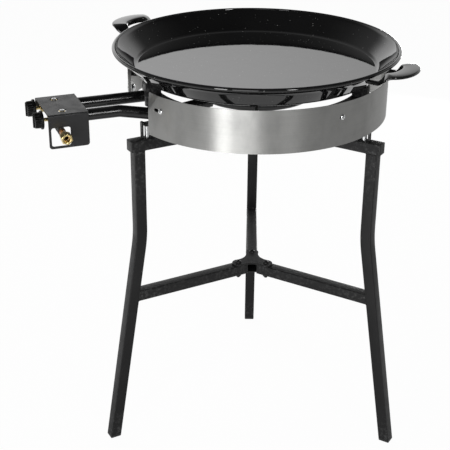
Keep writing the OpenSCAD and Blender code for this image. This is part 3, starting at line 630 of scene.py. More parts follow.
COPPER = metal("copper", base=(0.56, 0.29, 0.15), tarnish=(0.26, 0.13, 0.07), rough=0.32, share=0.8)
STEEL = brushed_steel("shield_steel")
ENAMEL = enamel("pan_enamel")


# The stand

LEG_LEVELS = (340, 200, 60, FOOT_HEIGHT)
STRAIGHT_TOP = 30.0
ARM_MIDDLE = 180.0
BRACE_MIDDLE = 150.0
HOLLOW_DEPTH = 40.0
HOLLOW_CORNER = 0.8
BRACE_SINK = 0.4
WELD_HALF = TUBE / 2 - 1
WELD_SIDE = TUBE / 2 - 0.5
ARM_WELD = 1.6
ARM_SIDE_WELD = 0.85
BRACE_WELD = 1.5
BRACE_SIDE_WELD = 0.9
PIN_WELD = 0.9
CAP_PROFILE = ((-0.6, 1.2), (0, 0.5), (0.3, 0), (1.1, 0), (1.6, 0.35), (1.9, 1.0), (CAP_HEAD, 2.2))
FOOT_PROFILE = ((FOOT_HEIGHT + 0.5, 1.2), (FOOT_HEIGHT, 0.45), (FOOT_HEIGHT - 0.35, 0), (1.4, 0),
                (0.6, 0.35), (0.15, 0.9), (0, 1.8))


def leg_ring(radius, height, lean, section):
    return [(radius + s * cos(lean), t, height + s * sin(lean)) for s, t in section]


def cut_ring(height, section):
    """The leg's section on a level plane of its lower part."""
    radius = LEG_RADIUS + (BEND_HEIGHT - height) * tan(SPLAY)
    return [(radius + s / cos(SPLAY), t, height) for s, t in section]


def leg_inner_face(height):
    return LEG_RADIUS + (BEND_HEIGHT - height) * tan(SPLAY) - TUBE / 2 / cos(SPLAY)


def leg_tube(section):
    rings = [leg_ring(LEG_RADIUS, ARM_BOTTOM, 0, section),
             leg_ring(LEG_RADIUS, BEND_TOP + STRAIGHT_TOP, 0, section)]
    for lean in arc(0, SPLAY, 14):
        rings.append(leg_ring(LEG_RADIUS + BEND_RADIUS * (1 - cos(lean)),
                              BEND_TOP - BEND_RADIUS * sin(lean), lean, section))
    return loft(rings + [cut_ring(z, section) for z in LEG_LEVELS])


def arm_tube(section):
    return loft([[(x, s, ARM_MID + t) for s, t in section] for x in (ARM_INNER, ARM_MIDDLE, ARM_OUTER)])


def brace_tube(section, inner):
    """A brace, open at its inner end and cut to the leg's slope at its outer end."""
    hollow = rounded_square(TUBE - 2 * TUBE_WALL, HOLLOW_CORNER)
    rows = ((inner + HOLLOW_DEPTH, hollow), (inner + 0.3, hollow), (inner, inset_square(0.4)),
            (inner + 0.5, section), (BRACE_MIDDLE, section))
    rings = [[(x, s, BRACE_HEIGHT + t) for s, t in ring] for x, ring in rows]
    rings.append([(leg_inner_face(BRACE_HEIGHT + t) + BRACE_SINK, s, BRACE_HEIGHT + t) for s, t in section])
    return loft(rings)


def leg_welds():
    """The beads under the arm and round the brace on one leg."""
    inside = LEG_RADIUS - TUBE / 2 + 0.2
    under = ARM_BOTTOM - 0.2
    welds = [bead([(inside, -WELD_HALF, under), (inside, WELD_HALF, under)], ARM_WELD)]
    low, high = BRACE_HEIGHT - WELD_HALF, BRACE_HEIGHT + WELD_HALF
    for s in (-1, 1):
        y = s * WELD_SIDE
        welds.append(bead([(LEG_RADIUS + t * WELD_HALF, y, ARM_BOTTOM) for t in (-1, 1)], ARM_SIDE_WELD))
        z = BRACE_HEIGHT + s * (TUBE / 2 + 0.1)
        x = leg_inner_face(z) - 0.1
        welds.append(bead([(x, -WELD_HALF, z), (x, WELD_HALF, z)], BRACE_WELD))
        welds.append(bead([(leg_inner_face(h), y, h) for h in (low, high)], BRACE_SIDE_WELD))
    return welds


square = inset_square(0)
for side, azimuth in LEGS.items():
    brace_inner = REAR_BRACE_INNER if side == "rear" else BRACE_INNER
    for kind, tube in (("leg_", leg_tube(square)), ("arm_", arm_tube(square)),
                       ("brace_", brace_tube(square, brace_inner))):
        make(kind + side + "_tube", Shape().add(tube, turn(azimuth)), STAND_PAINT, "stand",
             (kind + side,))

caps = Shape()
feet = Shape()
joints = Shape()
pins = Shape()
pin = [(0, PIN_HEIGHT), (1.9, PIN_HEIGHT), (2.6, PIN_HEIGHT - 0.4), (PIN_RADIUS, PIN_HEIGHT - 1.1),
       (PIN_RADIUS, 0.6), (PIN_RADIUS, 0), (0, 0)]
for azimuth in LEGS.values():
    for outward, end in ((1, ARM_OUTER), (-1, ARM_INNER)):
        rings = []
        for reach, inset in CAP_PROFILE:
            rings.append([(end + outward * reach, s, ARM_MID + t) for s, t in inset_square(inset)])
        caps.add(loft(rings), turn(azimuth))
    feet.add(loft([cut_ring(z, inset_square(inset)) for z, inset in FOOT_PROFILE]), turn(azimuth))
    for weld in leg_welds():
        joints.add(weld, turn(azimuth))
    place = turn(azimuth) @ shift(PIN_CIRCLE, 0, ARM_TOP)
    pins.add(revolve(pin, 32), place)
    pins.add(bead([polar(PIN_RADIUS + 0.3, a, 0.4) for a in circle(24)], PIN_WELD, True), place)
make("arm_cap_plugs", caps, CAP_PLASTIC, "stand", ("arm_caps",))
make("foot_cap_plugs", feet, CAP_PLASTIC, "stand", ("foot_caps",))
make("stand_welds", joints, STAND_PAINT, "stand", sharp=WELD_SHARP_ANGLE)
make("locating_pin_set", pins, BURNER_BLACK, "stand", ("locating_pins",))


def plate_outline():
    """The three-pointed plate: round tips joined by hollow sides that meet them smoothly."""
    hollow = ((PLATE_BOLT ** 2 + PLATE_WAIST ** 2 - PLATE_BOLT * PLATE_WAIST - PLATE_TIP ** 2)
              / (PLATE_BOLT + 2 * PLATE_TIP - 2 * PLATE_WAIST))
    centre = PLATE_WAIST + hollow

    def at(r, azimuth):
        return Vector(polar(r, radians(azimuth), 0)).to_2d()

    def round_part(middle, radius, angles):
        return [middle + radius * Vector((cos(t), sin(t))) for t in angles]

    points = []
    for azimuth in LEGS.values():
        tip = at(PLATE_BOLT, azimuth)
        before = at(centre, azimuth - 60) - tip
        after = at(centre, azimuth + 60) - tip
        a = atan2(before.y, before.x)
        b = atan2(after.y, after.x)
        while b < a:
            b += FULL_TURN
        points += round_part(tip, PLATE_TIP, arc(a, b - a, 20))
        mid = at(centre, azimuth + 60)
        to_next = at(PLATE_BOLT, azimuth + 120) - mid
        a = atan2(-after.y, -after.x)
        b = atan2(to_next.y, to_next.x)
        while b > a:
            b -= FULL_TURN
        points += round_part(mid, hollow, arc(a, b - a, 16)[1:-1])
    return [(p.x, p.y) for p in points]


plate = slab(plate_outline(), BRACE_TOP, BRACE_TOP + PLATE_SHEET, 0.5)
make("brace_plate_sheet", Shape().add(plate), STAND_PAINT, "stand", ("brace_plate",))

bolts = Shape()
nuts = Shape()
socket = hexagon(4)
button = [(0, 0), (5.2, 0), (5.5, 0.4), (5.4, 1.2), (4.9, 2.2), (4.0, 3.0), (3.0, 3.4), (2.7, 3.5),
          (socket, 3.3), (socket, 1.4), (0, 1.0)]
nut_height = 5
bolt_end = 8
for azimuth in LEGS.values():
    place = turn(azimuth) @ shift(PLATE_BOLT, 0, 0)
    bolts.add(revolve(button, 48), place @ shift(0, 0, BRACE_TOP + PLATE_SHEET))
    bolts.add(thread(radius=3, low=BRACE_BOTTOM - bolt_end, high=BRACE_BOTTOM + 2, pitch=1.0), place)
    nuts.add(nut(flats=10, height=nut_height, bore=3.3, pitch=1.0),
             place @ shift(0, 0, BRACE_BOTTOM - nut_height) @ turn(17))
make("brace_bolt_set", bolts, STAND_PAINT, "stand", ("brace_bolts",))
make("brace_nut_set", nuts, STAND_PAINT, "stand", ("brace_nuts",))


# The burner

studs = Shape()
stud = [(0, 0), (4.1, 0), (4.5, 0.4), (4.5, 21.6), (4.1, 22), (3, 22), (3, 25.6), (2.6, 26), (0, 26)]
for azimuth in LEGS.values():
    studs.add(revolve(stud, 40), turn(azimuth) @ shift(STUD_CIRCLE, 0, ARM_TOP))
make("burner_stud_set", studs, ZINC, "burner", ("burner_studs",))

DIP_GAP = 2.0
DIP_HEIGHT = RING_HEIGHT - OUTER_TUBE - DIP_GAP - PIPE_RADIUS
DIP_END = 258.0
DIP_RADII = (36, 30)
INNER_ENTRY_HEIGHT = 639.4
OUTER_ENTRY = sqrt(OUTER_CIRCLE ** 2 - PIPE_OFFSET ** 2)
INNER_ENTRY = sqrt(INNER_CIRCLE ** 2 - PIPE_OFFSET ** 2)
AIR_SLOT = (317, 329)
AIR_SLOT_HALF = 4
PIPE_LEVELS = (331, PIPE_MOUTH - 0.6, PIPE_MOUTH)
BEFORE_SLOT = 315


def bent_path(corners, radii):
    """A path in the plane of two axes with its corners rounded."""
    points = [Vector(corners[0])]
    for k in range(1, len(corners) - 1):
        p, q, r = (Vector(c) for c in corners[k - 1:k + 2])
        a, b = (p - q).normalized(), (r - q).normalized()
        radius = radii[k - 1]
        turn_angle = pi - a.angle(b)
        reach = radius * tan(turn_angle / 2)
        centre = q + (a + b).normalized() * radius / cos(turn_angle / 2)
        u, w = q + a * reach - centre, q + b * reach - centre
        for i in range(9):
            t = i / 8
            points.append(centre + (u * (1 - t) + w * t).normalized() * radius)
    points.append(Vector(corners[-1]))
    return points


def feed_pipe(path, y):
    """A pipe along a path in the X, Z plane, hollow at its mouth, with air slots."""
    n = len(path)
    frames = []
    for k, p in enumerate(path):
        along = (path[min(k + 1, n - 1)] - path[max(k - 1, 0)]).normalized()
        frames.append((p, Vector((-along.y, along.x))))
    rings = []
    order = [(k, PIPE_RADIUS) for k in range(n)] + [(k, PIPE_BORE) for k in (n - 1, n - 2, n - 3)]
    for k, radius in order:
        p, side = frames[k]
        ring = []
        for a in circle(40):
            q = p + side * radius * cos(a)
            ring.append((q.x, y + radius * sin(a), q.y))
        rings.append(ring)
    slot = box(*AIR_SLOT, y - 2 * PIPE_RADIUS, y + 2 * PIPE_RADIUS,
               PIPE_HEIGHT - AIR_SLOT_HALF, PIPE_HEIGHT + AIR_SLOT_HALF)
    return carve(loft(rings), [slot])


dipped = bent_path([(INNER_ENTRY + 4, INNER_ENTRY_HEIGHT), (OUTER_ENTRY, DIP_HEIGHT),
                    (DIP_END, PIPE_HEIGHT), (BEFORE_SLOT, PIPE_HEIGHT)], DIP_RADII)
dipped += [Vector((x, PIPE_HEIGHT)) for x in PIPE_LEVELS]
straight = [Vector((x, PIPE_HEIGHT)) for x in (OUTER_ENTRY + 2, 240, BEFORE_SLOT) + PIPE_LEVELS]
for side, path, y in (("inner", dipped, PIPE_OFFSET), ("outer", straight, -PIPE_OFFSET)):
    make(side + "_feed_pipe", Shape().add(feed_pipe(path, y), FEED), PIPE_BLACK, "burner",
         (side + "_pipe",))

RINGS = ((OUTER_CIRCLE, OUTER_TUBE, pi + 0.25, RING_HEIGHT), (INNER_CIRCLE, INNER_TUBE, 0.3, INNER_HEIGHT))
BAR_HALF = 2.7
SUPPORT_HALF = 3.2
FOOT_EDGES = (29.2, 32.8)
RING_WELD = 1.1
FOOT_WELD = 1.0


def on_ring(radius, tube, azimuth, spin, height=RING_HEIGHT):
    """A point on a ring's tube at an angle round its section."""
    return polar(radius + tube * cos(spin), azimuth, height + tube * sin(spin))


seams = Shape()
for azimuth in BAR_AZIMUTHS:
    for radius, tube, facing, height in RINGS:
        for s in (-1, 1):
            a = radians(azimuth) + s * BAR_HALF / radius
            seams.add(bead([on_ring(radius, tube, a, facing + t, height)
                            for t in (-0.4, -0.2, 0, 0.2, 0.4)], RING_WELD))
for azimuth in LEGS.values():
    for s in (-1, 1):
        a = radians(azimuth) + s * SUPPORT_HALF / OUTER_CIRCLE
        seams.add(bead([on_ring(OUTER_CIRCLE, OUTER_TUBE, a, t)
                        for t in (-0.3, 0, 0.3, 0.6, 0.9)], RING_WELD))
        for edge in FOOT_EDGES:
            a = radians(azimuth) + s * edge / OUTER_CIRCLE
            seams.add(bead([on_ring(OUTER_CIRCLE, OUTER_TUBE, a, -QUARTER + w)
                            for w in (-0.5, -0.25, 0, 0.25, 0.5)], FOOT_WELD))
for azimuth in CLIPS:
    a = radians(azimuth)
    seams.add(bead([on_ring(OUTER_CIRCLE, OUTER_TUBE, a + w, -0.18)
                    for w in (-0.028, -0.014, 0, 0.014, 0.028)], RING_WELD))
make("burner_welds", seams, BURNER_BLACK, "burner", sharp=WELD_SHARP_ANGLE)


# The controls

KNOB_FLUTES = 18
GRIP_BAR_HALF = 12.3
GRIP_BAR_WIDTH = 2.0
GRIP_BAR_ROWS = ((13.6, 0), (15.3, 0.15), (15.8, 0.5), (16, 1.0))


def knob_flute(radius, depth):
    """Radius of a fluted grip at an angle."""
    return lambda a: radius - depth * max(0.0, cos(KNOB_FLUTES * a)) ** 0.7


def bar_ring(half, width, z):
    """A long bar with rounded ends, seen from above."""
    points = []
    for a in circle(24):
        c, s = cos(a), sin(a)
        points.append((copysign(half * abs(c) ** 0.35, c), copysign(width * abs(s) ** 0.5, s), z))
    return points


knob_body = [(3.2, 0.6), (8, 0), (15.0, 0), (15.5, 0.5), (15.5, 2.9), (15.1, 3.5), (13.9, 3.7), (13.4, 4.4),
             (knob_flute(13.3, 0.9), 5.2), (knob_flute(13.0, 1.0), 11.8), (knob_flute(12.6, 0.8), 13.2),
             (12.0, 13.8), (11.0, 14.0), (0, 14.0)]
grip_bar = loft([bar_ring(GRIP_BAR_HALF - inset, GRIP_BAR_WIDTH - inset * 0.8, z)
                 for z, inset in GRIP_BAR_ROWS])
mark = slab([(-11.0, -0.45), (-5.0, -0.45), (-5.0, 0.45), (-11.0, 0.45)], 15.6, 16, 0.1)
for side, y in (("outer", -PIPE_OFFSET), ("inner", PIPE_OFFSET)):
    place = FEED @ shift(KNOB_START, y, PIPE_HEIGHT) @ OUTWARD
    knob = Shape().add(revolve(knob_body, 144), place).add(grip_bar, place)
    make("knob_" + side + "_moulding", knob, KNOB_PLASTIC, side + "_control",
         ("knob_" + side,))
    make("knob_" + side + "_mark", Shape().add(mark, place), MARK_PAINT, side + "_control")

glands = Shape()
heads = Shape()
tap_head = cross_head(radius=4, height=2.5, side=1.8)
for y in (-PIPE_OFFSET, PIPE_OFFSET):
    glands.add(nut(flats=13, height=6, bore=3.35), FEED @ shift(GLAND_PLACE, y, PIPE_HEIGHT) @ OUTWARD)
    place = FEED @ shift(TAP_SCREW_PLACE, y, TAP_SCREW_SEAT)
    heads.add(tap_head, place @ turn(25))
    heads.add(thread(radius=2, low=-4, high=0.2, pitch=0.7), place)
make("gland_nut_set", glands, BRASS, "burner", ("gland_nuts",))
make("tap_screw_set", heads, ZINC, "burner", ("tap_screws",))

inlet = chamfer_rows(INLET_FLATS, 0, INLET_LENGTH) + [(6.6, INLET_LENGTH)]
for k in range(16):
    inlet.append((6.0 if k % 2 else 5.55, INLET_LENGTH - 0.5 - 0.58 * k))
inlet += [(5.9, 6.2), (5.05, 6), (5.05, 0)]
place = FEED @ shift(RAIL_PLACE, INLET_START, RAIL_HEIGHT) @ FORWARD @ turn(12)
make("inlet_nut_turned", Shape().add(revolve(inlet, 72, True), place), BRASS, "burner",
     ("inlet_nut",))


# The wind shield

LOW_CORNER = 8
TOP_CORNER = 2.5
END_COLUMNS = [0, 0.25, 0.7, 1.4, 2.3, 3.4, 4.7, 6.0, 7.2, LOW_CORNER]
FINE_COLUMNS = 22
SHEET_COLUMNS = 240
SHEET_ROWS = 36
BENT_LENGTH = 27
BENT_HEIGHT = 33
BENT_DEPTH = 20.9 * tan(radians(7))
SLOT_RADIUS = 2.9
SLOT_REACHES = (12, 3.2, 3.2, 3.2)
SLOT_CUT = (-4, 3)
HEM_REACH = 4.4
HEM_SHEET = 1.1
HEM_ENDS = ((9.0, 11.0), (SHIELD_HEIGHT - 3, SHIELD_HEIGHT - 5))


def corner_drop(radius, distance):
    """How far a rounded corner falls back at a distance from the sheet's end."""
    if distance >= radius:
        return 0
    return radius - sqrt(max(radius ** 2 - (radius - distance) ** 2, 0))


def shield_columns(length):
    """Places along the sheet: close at both ends and at the bent corner, even between."""
    even = [LOW_CORNER + (length - 2 * LOW_CORNER) * k / SHEET_COLUMNS for k in range(1, SHEET_COLUMNS)]
    fine = [LOW_CORNER + k for k in range(1, FINE_COLUMNS + 1)]
    even = [x for x in even if x > fine[-1] + 1]
    return END_COLUMNS + fine + even + [length - e for e in reversed(END_COLUMNS)]


def shield_sheet():
    """The rolled sheet, its end corners rounded and its upper front one bent in."""
    first_angle = radians(GAP_AZIMUTH + GAP_WIDTH / 2)
    length = radians(360 - GAP_WIDTH) * SHIELD_RADIUS
    columns = shield_columns(length)
    verts = []
    for radius in (SHIELD_RADIUS, SHIELD_RADIUS - SHIELD_SHEET):
        for s in columns:
            a = first_angle + s / SHIELD_RADIUS
            end = min(s, length - s)
            low = corner_drop(LOW_CORNER, end)
            top = SHIELD_HEIGHT - corner_drop(TOP_CORNER, end)
            for k in range(SHEET_ROWS + 1):
                z = low + (top - low) * k / SHEET_ROWS
                bent = max(0.0, 1 - s / BENT_LENGTH - (SHIELD_HEIGHT - z) / BENT_HEIGHT) * BENT_DEPTH
                verts.append(Vector(polar(radius - bent, a, SHIELD_BOTTOM + z)))
    n, m = len(columns), SHEET_ROWS + 1
    faces = []
    for j in range(n - 1):
        for k in range(SHEET_ROWS):
            p = j * m + k
            faces.append((p, p + m, p + m + 1, p + 1))
            q = n * m + p
            faces.append((q, q + 1, q + m + 1, q + m))
        for k in (0, SHEET_ROWS):
            p, q = j * m + k, n * m + j * m + k
            faces.append((p, q, q + m, p + m) if k == 0 else (p, p + m, q + m, q))
    for j in (0, n - 1):
        for k in range(SHEET_ROWS):
            p, q = j * m + k, n * m + j * m + k
            faces.append((p, p + 1, q + 1, q) if j == 0 else (p, q, q + 1, p + 1))
    return verts, faces


def slot_cutter(azimuth, reach):
    """A slotted screw hole that runs from the screw towards lower angles."""
    outline = [(-reach + SLOT_RADIUS * cos(a), SLOT_RADIUS * sin(a)) for a in arc(QUARTER, pi, 12)]
    outline += [(SLOT_RADIUS * cos(a), SLOT_RADIUS * sin(a)) for a in arc(-QUARTER, pi, 12)]
    rings = [[(SHIELD_RADIUS + d, t, SCREW_HEIGHT + z) for t, z in outline] for d in SLOT_CUT]
    verts, faces = loft(rings)
    return [turn(azimuth) @ Vector(v) for v in verts], faces


def hem_corner(along, inward, height):
    """A point of the hem that is folded in at the sheet's rear end."""
    a = radians(GAP_AZIMUTH - GAP_WIDTH / 2) - along / SHIELD_RADIUS
    return polar(SHIELD_RADIUS - SHIELD_SHEET - inward, a, SHIELD_BOTTOM + height)


shield = Shape().add(carve(shield_sheet(), [slot_cutter(*pair) for pair in zip(CLIPS, SLOT_REACHES)]))
rings = []
for root, tip in HEM_ENDS:
    rings.append([hem_corner(0.05, -0.1, root), hem_corner(HEM_SHEET, -0.1, root),
                  hem_corner(HEM_REACH + HEM_SHEET, HEM_REACH, tip), hem_corner(HEM_REACH, HEM_REACH, tip)])
shield.add(loft(rings))
piece = make("wind_shield_sheet", shield, STEEL, "burner", ("wind_shield",), sharp=30)

# The sheet's own length and height are its map, for the brushed grain
layer = piece.data.uv_layers.new(name="sheet")
for loop in piece.data.loops:
    x, y, z = piece.data.vertices[loop.vertex_index].co
    a = (degrees(atan2(y, x)) - GAP_AZIMUTH) % 360
    layer.data[loop.index].uv = (radians(a) * SHIELD_RADIUS * MM, z)

SCREW_TIP = 221.7
SCREW_NUT = 223.6
END_TIP = 222.7
END_NUT = 224.6
END_FLATS = 11
END_HEAD = 5
SHANK_SINK = 0.2
WASHER_RADIUS = 5.2
WASHER_SHEET = 0.4

screws = Shape()
backs = Shape()
head = cross_head(radius=4.5, height=2.5)
for k, azimuth in enumerate(CLIPS):
    place = turn(azimuth) @ shift(0, 0, SCREW_HEIGHT) @ OUTWARD
    screws.add(head, place @ shift(0, 0, SHIELD_RADIUS) @ turn(20 + 31 * k))
    screws.add(thread(radius=2.5, low=SCREW_TIP, high=SHIELD_RADIUS + SHANK_SINK), place)
    backs.add(nut(flats=8, height=4, bore=2.8), place @ shift(0, 0, SCREW_NUT) @ turn(9 * k))
make("shield_screw_set", screws, ZINC, "burner", ("shield_screws",))
make("shield_nut_set", backs, ZINC, "burner", ("shield_nuts",))

place = turn(END_AZIMUTH) @ shift(0, 0, END_HEIGHT) @ OUTWARD
seat = place @ shift(0, 0, SHIELD_RADIUS)
hexagon_head = [(0, 0)] + chamfer_rows(END_FLATS, WASHER_SHEET, END_HEAD, False) + [(0, END_HEAD)]
end = Shape().add(revolve(hexagon_head, 48), seat)
end.add(revolve([(0, 0), (WASHER_RADIUS, 0), (WASHER_RADIUS, WASHER_SHEET), (0, WASHER_SHEET)], 40), seat)
end.add(thread(radius=3, low=END_TIP, high=SHIELD_RADIUS + SHANK_SINK, pitch=1.0), place)
make("end_bolt_hexagon", end, ZINC, "burner", ("end_bolt",))
end_nut = Shape().add(nut(END_FLATS, height=5, bore=3.3, pitch=1.0), place @ shift(0, 0, END_NUT))
make("end_nut_hexagon", end_nut, ZINC, "burner", ("end_nut",))


# The pan

BOTTOM_COLUMNS = (0, 60, 120, 170)
OUTSIDE_LEVELS = (698, 706, 713)
INSIDE_LEVELS = (714, 707, 699)
BEAD_INSIDE = 2.2
BEAD_FIRST = -0.9
BEAD_LAST = pi - 0.25
FLOOR_STEPS = 16


def side_radius(z):
    """Radius of the pan's sloping side, outside, at a height."""
    return BEAD_CIRCLE - (BEAD_HEIGHT - z) / tan(PAN_SLOPE)


def pan_profile():
    """Out along the bottom, up, over the rolled rim and back in over the dished floor."""
    fillet = arc(0, PAN_SLOPE, 10)
    rise = PAN_FILLET * (1 - cos(PAN_SLOPE))
    floor = side_radius(PAN_BOTTOM + rise) - PAN_FILLET * sin(PAN_SLOPE)
    centre = PAN_BOTTOM + PAN_FILLET
    points = [(r, PAN_BOTTOM) for r in BOTTOM_COLUMNS]
    points += [(floor + PAN_FILLET * sin(a), centre - PAN_FILLET * cos(a)) for a in fillet]
    points += [(side_radius(z), z) for z in OUTSIDE_LEVELS]
    for a in arc(BEAD_FIRST, BEAD_LAST - BEAD_FIRST, 24):
        across = RIM_BEAD if a < QUARTER else BEAD_INSIDE
        points.append((BEAD_CIRCLE + across * cos(a), BEAD_HEIGHT + RIM_BEAD * sin(a)))
    lift = PAN_WALL / cos(PAN_SLOPE)
    points += [(side_radius(z), z + lift) for z in INSIDE_LEVELS]
    inner = PAN_FILLET - PAN_WALL
    level = PAN_BOTTOM + PAN_WALL + FLOOR_DISH
    edge = side_radius(level + inner * (1 - cos(PAN_SLOPE)) - lift) - inner * sin(PAN_SLOPE)
    points += [(edge + inner * sin(a), level + inner - inner * cos(a)) for a in reversed(fillet)]
    for k in range(FLOOR_STEPS - 1, -1, -1):
        sunk = FLOOR_DISH * 0.75 * (1 - (k / FLOOR_STEPS) ** 2)
        points.append((edge * k / FLOOR_STEPS, level - sunk))
    return points


make("pan_bowl", Shape().add(revolve(pan_profile(), 288)), ENAMEL, "pan", ("pan",), sharp=50)

HANDLE_ROOT = side_radius(LEG_TOP - HANDLE_FLANGE) - PAN_WALL
HANDLE_STEPS = 84
INNER_BOW = 0.36
OUTER_BOW = 0.5
GRIP_CROWN = 0.5
WALL_SINK = 0.6


def ease(x):
    x = min(max(x, 0.0), 1.0)
    return x * x * (3 - 2 * x)


def strip_edge(c, s, reach, half, power):
    return Vector((HANDLE_ROOT + (reach - HANDLE_ROOT) * max(c, 0.0) ** power, half * s))


def strip_section(width, inside, outside):
    """The pressed strip across its width: flange, rounded fold, crown, fold, flange."""
    sheet, corner = HANDLE_SHEET, HANDLE_FOLD
    crown = GRIP_CROWN * ease((width - LEG_STRIP) / LEG_STRIP)
    top = [(corner + (width - 2 * corner) * t, crown * 4 * t * (1 - t))
           for t in (k / 8 for k in range(1, 8))]
    quarter = arc(0, QUARTER, 5)
    outer = [(0, -inside)]
    outer += [(corner - corner * cos(a), -corner + corner * sin(a)) for a in quarter]
    outer += top
    outer += [(width - corner + corner * sin(a), -corner + corner * cos(a)) for a in quarter]
    outer += [(width, -outside)]
    fold = corner - sheet
    inner = [(width - sheet, -outside)]
    inner += [(width - corner + fold * cos(a), -corner + fold * sin(a)) for a in quarter]
    inner += [(x, z - sheet) for x, z in reversed(top)]
    inner += [(corner - fold * sin(a), -corner + fold * cos(a)) for a in quarter]
    inner += [(sheet, -inside)]
    return outer + inner


def handle_loft():
    """A pressed strip from the pan's side, out and up to the grip, and back."""
    leg_outer = LEG_HALF + LEG_STRIP
    climb = GRIP_INNER + GRIP_OUTER - 2 * RIM_RADIUS - GRIP_REACH / 2
    rings = []
    for k in range(HANDLE_STEPS + 1):
        sweep = QUARTER * sin(QUARTER * (2 * k / HANDLE_STEPS - 1))
        c, s = cos(sweep), sin(sweep)
        part = ease(c * GRIP_FLARE)
        a = strip_edge(c, s, GRIP_INNER, LEG_HALF, INNER_BOW)
        b = strip_edge(c, s, GRIP_OUTER, leg_outer + (GRIP_HALF - leg_outer) * part, OUTER_BOW)
        across = (b - a).normalized()
        z = LEG_TOP + (GRIP_TOP - LEG_TOP) * ease((a.x + b.x - 2 * RIM_RADIUS + RIM_BEAD) / climb)
        ring = []
        for x, h in strip_section((b - a).length, HANDLE_FLANGE + 4 * part, HANDLE_FLANGE - part):
            p = Vector((a.x + across.x * x, a.y + across.y * x, z + h))
            wall = side_radius(p.z) - WALL_SINK
            if hypot(p.x, p.y) < wall:
                p.x = sqrt(max(wall * wall - p.y * p.y, 0))
            ring.append(p)
        rings.append(ring)
    return loft(rings)


for side, azimuth in (("right", HANDLE_AZIMUTH), ("left", HANDLE_AZIMUTH - 180)):
    handle = Shape().add(handle_loft(), turn(azimuth))
    make("handle_" + side + "_pressing", handle, ENAMEL, "pan", ("handle_" + side,), sharp=50)


# Solids that keep their own shape, with the width of their broken edges
KEPT = (
    (BURNER_BLACK, {"burner_feet": 0.5, "outer_ring": 0, "inner_ring": 0, "ring_bars": 0.4,
                    "shield_clips": 0.3, "support_left": 0.6, "support_right": 0.6, "support_rear": 0.6}),
    (BRACKET_PAINT, {"control_bracket": 0.6, "pipe_saddles": 0.3, "gas_rail": 0.4}),
    (BRASS, {"tap_outer": 0.4, "tap_inner": 0.4, "injectors": 0.3, "spindle_outer": 0.3,
             "spindle_inner": 0.3}),
    (COPPER, {"inlet_tube": 0}),
)
for material, edges in KEPT:
    for name, edge in edges.items():
        solid = nodes[name]
        solid.data.materials.clear()
        solid.data.materials.append(material)
        if edge:
            weld = solid.modifiers.new("weld", "WELD")
            weld.merge_threshold = 1e-6
            bevel = solid.modifiers.new("bevel", "BEVEL")
            bevel.width = edge * MM
            bevel.segments = 2
            bevel.limit_method = "ANGLE"
            bevel.angle_limit = radians(50)


# The studio, placed in metres

IMAGE_SIDE = 450
FOCAL_PIXELS = 1073.33
SENSOR = 36
CAMERA_PLACE = (-0.0256, -1.8139, 1.2427)
FLOOR_REACH = 14
# Centre and stretch of the painted pool of light that reflections see on the floor
LIGHT_POOL_CENTRE = (-0.5, 1.6, 0)
LIGHT_POOL_SCALE = (1.1, 0.455, 0)
WHITE = (1, 1, 1)


def place_camera():
    yaw, pitch, roll = radians(-0.84), radians(-25.60), radians(0.47)
    ahead = Vector((sin(yaw) * cos(pitch), cos(yaw) * cos(pitch), sin(pitch)))
    right = Vector((cos(yaw), -sin(yaw), 0))
    up = right.cross(ahead)
    across = cos(roll) * right + sin(roll) * up
    over = -sin(roll) * right + cos(roll) * up
    data = bpy.data.cameras.new("camera")
    data.sensor_width = SENSOR
    data.lens = SENSOR * FOCAL_PIXELS / IMAGE_SIDE
    data.clip_end = 100
    camera = bpy.data.objects.new("camera", data)
    turned = Matrix((across, over, -ahead)).transposed().to_4x4()
    camera.matrix_world = Matrix.Translation(CAMERA_PLACE) @ turned
    scene.collection.objects.link(camera)
    scene.camera = camera


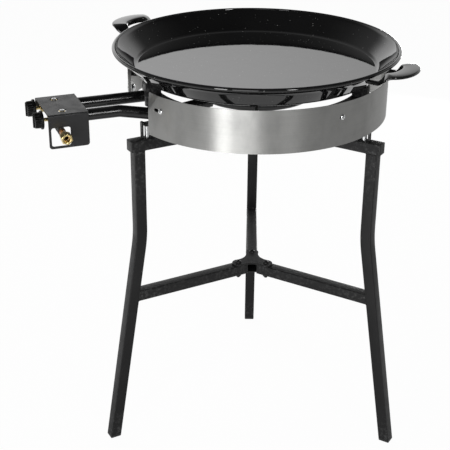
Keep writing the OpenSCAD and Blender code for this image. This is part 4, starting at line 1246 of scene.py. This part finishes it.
def lay_floor():
    """A pale sheet that keeps the shadow; in reflections it shows a painted pool of light that fades to
    painted grey shade with distance, and a painted shadow under the object.
    """
    # Grey of the painted shade that reflections see outside the light pool and under the object
    dim = (0.4, 0.4, 0.4)
    glow_share = 0.97
    mesh = bpy.data.meshes.new("floor")
    r = FLOOR_REACH
    mesh.from_pydata([(-r, -r, 0), (r, -r, 0), (r, r, 0), (-r, r, 0)], [], [(0, 1, 2, 3)])
    floor = bpy.data.objects.new("floor", mesh)
    scene.collection.objects.link(floor)
    material, tree, bsdf = start("floor")
    place = place_of(tree)
    # A painted pool of light, seen only in reflections: white near its centre behind the object, fading to
    # painted grey shade
    middle = vector_math(tree, "SUBTRACT", {0: place, 1: LIGHT_POOL_CENTRE}).outputs[0]
    light_pool_distance = vector_math(tree, "LENGTH", {0: stretched(tree, middle, LIGHT_POOL_SCALE)}).outputs["Value"]
    painted_shade = spread(tree, light_pool_distance, 1.1, 1.9, 0, 1, True)
    # Painted shadow: in reflections the floor turns grey under the object
    under = vector_math(tree, "LENGTH", {0: place}).outputs["Value"]
    painted_shade = math_node(tree, "MAXIMUM", painted_shade, spread(tree, under, 0.25, 0.75, 0.9, 0, True))
    rays = add(tree, "ShaderNodeLightPath").outputs
    mirrored = math_node(tree, "MAXIMUM", rays["Is Glossy Ray"], rays["Is Transmission Ray"])
    # The floor's emitted colour: white for the camera, painted light and shade for reflections
    painted_glow = blend(tree, math_node(tree, "MULTIPLY", painted_shade, mirrored), WHITE, dim)
    set_inputs(bsdf, {"Base Color": (0.9, 0.9, 0.9, 1), "Roughness": 1, "Specular IOR Level": 0})
    light = add(tree, "ShaderNodeEmission", {"Color": painted_glow, "Strength": 1.0})
    seen = math_node(tree, "MAXIMUM", rays["Is Camera Ray"], mirrored)
    share = math_node(tree, "MULTIPLY", seen, glow_share)
    mix = add(tree, "ShaderNodeMixShader", {0: share, 1: bsdf.outputs[0], 2: light.outputs[0]})
    tree.links.new(mix.outputs[0], tree.nodes["Material Output"].inputs["Surface"])
    mesh.materials.append(material)


def light_world():
    """Bright behind the object, dim in front of it and overhead, dimmer to the right."""
    overhead = (0.2, 0.2, 0.2)
    world = bpy.data.worlds.new("studio")
    scene.world = world
    world.use_nodes = True
    tree = world.node_tree
    back = tree.nodes["Background"]
    way = add(tree, "ShaderNodeTexCoord").outputs["Generated"]
    axes = add(tree, "ShaderNodeSeparateXYZ", {"Vector": way})
    rear = spread(tree, axes.outputs["Y"], 0.0, 0.75, 0.28, 1.42, True)
    high = spread(tree, axes.outputs["Z"], 0.27, 0.47, 0, 1, True)
    sky = blend(tree, high, WHITE, overhead)
    side = spread(tree, axes.outputs["X"], -0.12, 0.3, 1.04, 0.66, True)
    strength = math_node(tree, "MULTIPLY", rear, side)
    level = vector_math(tree, "SCALE", {0: sky, "Scale": strength}).outputs[0]
    seen = add(tree, "ShaderNodeLightPath").outputs["Is Camera Ray"]
    tree.links.new(blend(tree, seen, level, WHITE), back.inputs["Color"])


def lamp(name, size, place, target, power):
    data = bpy.data.lights.new(name, "AREA")
    data.shape = "RECTANGLE"
    data.size, data.size_y = size
    data.energy = power
    light = bpy.data.objects.new(name, data)
    scene.collection.objects.link(light)
    way = Vector(target) - Vector(place)
    light.matrix_world = Matrix.Translation(place) @ way.to_track_quat("-Z", "Y").to_matrix().to_4x4()
    light.visible_camera = False
    return light


BURNER_MIDDLE = (0, 0, 0.62)
place_camera()
lay_floor()
light_world()
lamp("strip_left", (0.34, 1.6), (-0.93, -1.97, 0.75), BURNER_MIDDLE, 15)
lamp("strip_front", (0.7, 1.6), (-0.3, -2.15, 0.75), BURNER_MIDDLE, 9)
lamp("card_right", (0.2, 0.5), (0.77, -1.6, 1.36), (-0.3, -0.1, 0.64), 6)
lamp("strip_back", (0.3, 0.6), (0.7, 1.9, 0.4), BURNER_MIDDLE, 6)
lamp("softbox_top", (1.8, 1.2), (-0.8, 1.5, 2.4), (0, 0, 0.5), 26).visible_glossy = False

scene.view_settings.view_transform = "Standard"
